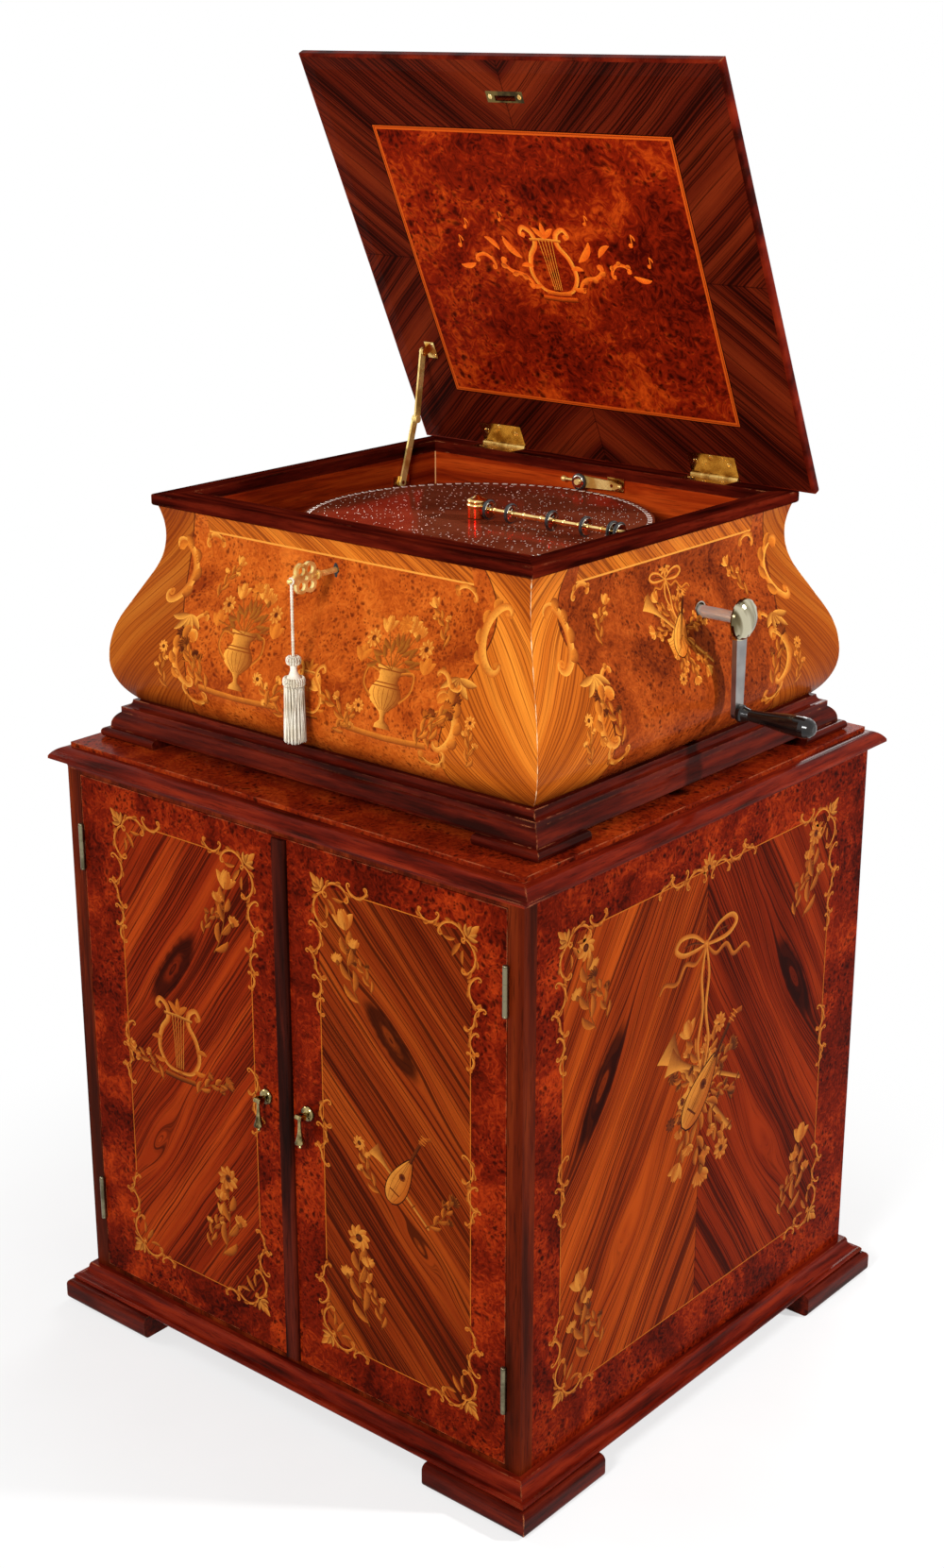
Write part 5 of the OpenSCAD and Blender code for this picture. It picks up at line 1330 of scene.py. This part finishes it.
def lid_inlay():
    d = Inlay(LID_TINT)
    d.compose(((0, 262), lyre, 100))
    for s in (-1, 1):
        d.put(0, 262, s)
        scroll(d, (52, -16), 0, 48, 1, 5.4, True, 3, (AMBER, HONEY))
        scroll(d, (92, 4), 20, 36, -1, 4.4, False, 3, (AMBER, HONEY))
        d.leaf((40, 4), 30, 34, 0.8, 9)
        d.leaf((70, 12), 62, 24, -0.8, 7)
        d.leaf((112, -8), -30, 24, 0.8, 7)
    for u, v, size in LID_NOTES:
        d.compose(((u, v), note, size))
    d.lay("lid_inlay", "lid", lid_face)


lid_inlay()

# Small metalwork

SCREW_DOME = ((0.0, 1.0), (0.025, 1.0), (0.045, 0.9), (0.055, 0.6), (0.06, 0.2))


def screw(m, at, normal, r):
    """A nearly flush screw head of r millimetres, with a slot across it in a random direction."""
    z = Vector(normal).normalized()
    x = Matrix.Rotation(rng.uniform(0, 3), 3, z) @ z.orthogonal().normalized()
    y = z.cross(x)
    o = Vector(at)
    for s in (-1, 1):
        rows = []
        for h, k in SCREW_DOME:
            row = []
            for i in range(13):
                a = pi * i / 12
                across = max(0.14, sin(a) * k) * s
                row.append(m.point(o + (x * (cos(a) * k) + y * across + z * h) * (r * MM)))
            rows.append(row)
        for a, b in zip(rows, rows[1:]):
            m.strip(a, b, s)
        m.face(s, *rows[-1])
        m.face(-s, *(row[0] for row in rows), *(row[-1] for row in reversed(rows)))
    m.lathe([(r * 0.98, 0.0), (r * 0.98, 0.01 * r)], o, z, 20)


def lid_screws():
    m = Mesh()
    spots = []
    for u in (-155, 155):
        spots += [(u - 23, 17.9, 3.3, 0), (u, 25.9, 3.3, 0), (u + 23, 17.9, 3.3, 0)]
    spots += [(-20, 459.7, 2.8, 0), (20, 459.7, 2.8, 0), (-222.5, 121, 2.2, 2), (-222.5, 135, 2.2, 2)]
    for u, v, r, lift in spots:
        screw(m, lid_face(u, v)[0] + LID_DOWN * (lift * MM), LID_DOWN, r)
    m.build("lid_screws", gold_brass, "lid", "brass")


def case_screws():
    m = Mesh()
    for x in (-155, 155):
        for dx, y in ((-23, 231), (0, 224), (23, 231)):
            screw(m, ((x + dx) * MM, y * MM, RIM_TOP), (0, 0, 1), 3.3)
    for y in (142, 162):
        screw(m, (-0.2405, y * MM, 0.9593), (1, 0, 0), 2)
    for y, z in ((-5, 988), (23, 988), (-5, 963), (23, 963)):
        screw(m, (0.2395, y * MM, z * MM), (-1, 0, 0), 2.4)
    m.build("case_screws", gold_brass, "frame", "brass")


def turned(name, material, body, slot, *rows):
    """A piece of turned parts, each given as its outline, place, axis and number of sides."""
    m = Mesh()
    for row in rows:
        m.lathe(*row)
    m.build(name, material, body, slot)


PIN_X = 0.3125
PIN_Y = -0.3212
HINGE_HALF = 0.0268
HINGES_Z = (0.148, 0.601)
PIN_CAP = ((1.2, -1.2), (2.6, -1), (3, 0), (2.6, 1), (1.2, 1.2))


def hinge_caps(name, x):
    spots = [(z + s * HINGE_HALF, s) for z in HINGES_Z for s in (-1, 1)]
    turned(name, steel, "frame", "nickel", *((PIN_CAP, (x, PIN_Y, z), (0, 0, s), 20) for z, s in spots))


lid_screws()
case_screws()
hinge_caps("left_hinge_caps", -PIN_X)
hinge_caps("right_hinge_caps", PIN_X)


TONGUE_RINGS = 62
FIRST_RING = 0.044
RING_STEP = 0.00226
TONGUE_HALF = 0.0003
DRIVE_HOLES = 108
DRIVE_R = 0.1915


def disc_tongues():
    """Rows of pressed tongues on the disc, one ring for each tooth of the combs."""
    m = Mesh()

    def spot(r, a, lift):
        return m.point((r * cos(a), DISC_Y + r * sin(a), DISC_TOP + lift))

    for ring in range(TONGUE_RINGS):
        r = FIRST_RING + RING_STEP * ring
        r0 = r - TONGUE_HALF
        r1 = r + TONGUE_HALF
        a = rng.uniform(0, 6.28)
        end = a + 6.28
        while a < end:
            a += (0.006 + rng.expovariate(1 / 0.046)) / r
            w = rng.choice((0.0006, 0.0008, 0.001)) / r
            h = rng.uniform(0.0002, 0.0004)
            foot = ((r0, a - w), (r1, a - w), (r1, a + w), (r0, a + w))
            b0, b1, b2, b3 = (spot(q, k, -0.00005) for q, k in foot)
            e0, e1 = (spot(q, a + w * 0.8, h) for q in (r0, r1))
            m.f += [(b0, b1, e1, e0), (e0, e1, b2, b3), (b0, e0, b3), (b1, b2, e1)]
            a += w
    m.build("disc_tongues", bright_steel, "disc", "disc_steel", False)


def disc_slot_edges():
    """Raised edges of the drive holes."""
    m = Mesh()
    for k in turns(DRIVE_HOLES):
        c = cos(k)
        s = sin(k)
        rows = []
        for du, dv, lift in ((0.0025, 0.0033, -0.00004), (0.0017, 0.0027, 0.0005)):
            row = []
            for i, j in ((-1, -1), (1, -1), (1, 1), (-1, 1)):
                u = DRIVE_R + i * du
                v = j * dv
                row.append(m.point((u * c - v * s, DISC_Y + u * s + v * c, DISC_TOP + lift)))
            rows.append(row)
        m.skin(rows, False)
    m.build("disc_slot_edges", bright_steel, "disc", "disc_steel", False)


ROLLER_RIM = ((3.3, 0), (9.6, 0), (9.6, 0.3), (8.4, 0.5), (6.2, 0.4), (5.0, 0.9), (3.4, 1.0))
ROLLERS = [(x, s) for x in (17.1, 48.1, 105.0, 151.1, 187.0, 196.2) for s in (-1, 1)]
EDGE_RIM = ((2.1, 0), (8.0, 0), (8.0, 0.3), (6.6, 0.5), (4.4, 0.4), (2.2, 0.6))
HUB_CAP = [(11.2, -5.5), (11.8, -5), (11.8, -1.5), (10.8, -0.8), (10.8, 0.2), (11.6, 0.8)]
HUB_CAP += [(11.2, 2.8), (8.8, 4.4), (5.2, 5.2), (3.0, 7.4), (0.8, 8.0)]
COLLAR = ((3, 0), (4, 0.4), (4, 2.6), (3, 3))
COLLARS = (24, 40, 66, 90, 121, 141, 172)


def bar_pieces():
    """The rollers' metal rims, a turned cap on the bar's hub and collars between the rollers."""
    rims = [(ROLLER_RIM, ((x + s * 1.95) * MM, DISC_Y, BAR_Z), (s, 0, 0)) for x, s in ROLLERS]
    turned("roller_rims", nickel, "rollers", "nickel", *rims)
    rims = [(EDGE_RIM, (-0.00709, 0.2035 + s * 0.00195, 0.9819), (0, s, 0)) for s in (-1, 1)]
    turned("edge_roller_rims", nickel, "edge_wheel", "nickel", *rims)
    cap = (HUB_CAP, (0, DISC_Y, BAR_Z + 0.006), (0, 0, 1), 48)
    rings = [(COLLAR, (x * MM, DISC_Y, BAR_Z), (1, 0, 0), 24) for x in COLLARS]
    turned("bar_fittings", gold_brass, "bar", "brass", cap, *rings)


KEYHOLE_HALF = 0.0032
KEYHOLE_HIGH = 0.0088


def keyhole():
    """The keyhole, a round hole over a straight foot, drawn as a black patch on the wall: painted shade
    where the hole is.
    """
    m = Mesh()
    y = CASE_Y - (HALF_Y + swell(KEY_Z / MM)[0]) * MM - 0.0003
    rows = []
    for f, h in ((1.0, 0.0), (0.9, 0.0003), (0.5, 0.0002), (0.1, 0.0001)):
        row = []
        for k in turns(40):
            u = KEYHOLE_HALF * cos(k) * (1.15 if sin(k) > -0.2 else 0.7)
            row.append(m.point((u * f, y - h, KEY_Z - 0.0015 + KEYHOLE_HIGH * sin(k) * f)))
        rows.append(row)
    m.skin(rows, False)
    m.build("keyhole", ebony_and_hole_shade_mat, "frame", "ebonised")


disc_tongues()
disc_slot_edges()
bar_pieces()
keyhole()


def worn_wood():
    t = Tree("worn_wood")
    n = t.noise(t.p, 160, 3.0)
    c = t.ramp(n, (0.35, 0.6), ((196, 130, 74), (244, 214, 170)))
    t.bump(n, 0.00005, 0.4)
    return t.lacquer(c, 0.3, 0.2, 160)


MITRE_LOW = 766.5
MITRE_HIGH = 220.5
MITRE_W = 0.0006


def worn_mitres():
    """Pale rubbed lines down the case's corners."""
    m = Mesh()
    for sx, sy in ((1, -1), (-1, -1), (1, 1), (-1, 1)):
        out = Vector((sx, sy, 0)).normalized()
        prev = None
        for i in range(100):
            z = MITRE_LOW + MITRE_HIGH * i / 99
            p = swell(z)[0]
            base = Vector((sx * (HALF_X + p) * MM, CASE_Y + sy * (HALF_Y + p) * MM, z * MM))
            w = 0.4 + 0.9 * sin(i * 0.37 + sx) * sin(i * 0.13 + 2 * sy)
            w = max(0.00008, MITRE_W * w)
            edges = [base - Vector(back) * w + out * 0.0001 for back in ((0, sy, 0), (sx, 0, 0))]
            row = [m.point(q) for q in (edges[0], base + out * 0.00016, edges[1])]
            if prev:
                m.strip(prev, row, -sx * sy)
            prev = row
    m.build("worn_mitres", worn_wood(), "frame", "rosewood")


worn_mitres()

# Cord and tassel

CORD_R = 0.00105
CORD_LAY = 0.0062
STRAND_OFF = 0.0007
LOOP_R = 0.0029
THREAD_R = 0.00062
SKIRT_THREADS = 72
SKIRT_TOP = 32.5
# Height, radius, number of loops, and height and depth of a loop
RUFFS = ((-4.6, 5.8, 15, 4.2, 1.9), (-27.2, 9.9, 24, 4.6, 1.6))


def silk():
    t = Tree("cream_silk")
    twist = t.noise(t.p, 900, 2.0)
    c = t.ramp(t.noise(t.p, 60, 3.0), (0.35, 0.65), ((206, 192, 164), (240, 233, 216)))
    c = t.mix(twist.step(0.5, 0.35) * 0.3, c, (170, 150, 118))
    t.bump(twist, 0.0002)
    t.bsdf.inputs["Sheen Weight"].default_value = 0.4
    return t.finish(c, 0.62 + 0.16 * twist, spec=0.3)


silk_mat = silk()


def cord_piece():
    m = Mesh()
    top = KEY_Z - 0.0027
    length = top - TASSEL_Z
    for strand in range(2):
        path = []
        for i in range(121):
            down = length * i / 120
            k = 2 * pi * down / CORD_LAY + pi * strand
            path.append((STRAND_OFF * cos(k), CORD_Y + STRAND_OFF * sin(k), top - down))
        m.tube(path, CORD_R, 6)
    o = m.build("tassel_cord_twist", silk_mat, "tassel", "cream_silk")
    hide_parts("tassel_cord")
    loop = Mesh()
    ring = [(LOOP_R * cos(k), CORD_Y, KEY_Z + LOOP_R * sin(k)) for k in turns(24)]
    loop.tube(ring + ring[:1], CORD_R, 8)
    loop.build("tassel_cord_loop", silk_mat, "tassel", "cream_silk")


def tassel_piece():
    at = Vector((0, CORD_Y, TASSEL_Z))
    up = Vector((0, 0, 1))
    head = Mesh()
    outline = [(0.6, -0.5), (2.6, -1), (4.2, -3), (4.4, -7), (3.8, -10), (3.5, -13), (3.8, -16), (5.0, -19)]
    outline += [(7.0, -22), (8.6, -25), (9.0, -29), (8.6, -32), (7.6, -34), (0.5, -34.5)]
    head.lathe(outline, at, up, 40)
    head.build("tassel_head", silk_mat, "tassel", "cream_silk")
    ruff = Mesh()
    for z, r, n, high, deep in RUFFS:
        for k in turns(n):
            out = Vector((cos(k), sin(k), 0))
            c = at + up * (z * MM) + out * (r * MM)
            loop = [c + (out * (deep * cos(a)) + up * (high * sin(a))) * MM for a in turns(8)]
            ruff.tube(loop + loop[:1], THREAD_R, 6)
    ruff.build("tassel_ruffs", silk_mat, "tassel", "cream_silk")
    skirt = Mesh()
    for i, k in enumerate(turns(SKIRT_THREADS)):
        k += rng.uniform(-0.02, 0.02)
        r0 = 10.0 - (i % 2) * 2.2
        r1 = r0 + 1.6 - rng.uniform(0, 0.5)
        length = 60 - rng.uniform(0, 1.6)
        path = []
        for j in range(11):
            s = j / 10
            r = (r0 + (r1 - r0) * s + sin(s * 9 + i) * 0.12) * MM
            w = k + 0.05 * sin(s * 4 + i * 1.7)
            path.append((r * cos(w), CORD_Y + r * sin(w), TASSEL_Z - (SKIRT_TOP + length * s) * MM))
        skirt.tube(path, THREAD_R, 5)
    skirt.lathe([(5.4, -33), (6.0, -61), (6.6, -89)], at, up, 24)
    strands = skirt.build("tassel_skirt", silk_mat, "tassel", "cream_silk")
    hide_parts("tassel")


cord_piece()
tassel_piece()
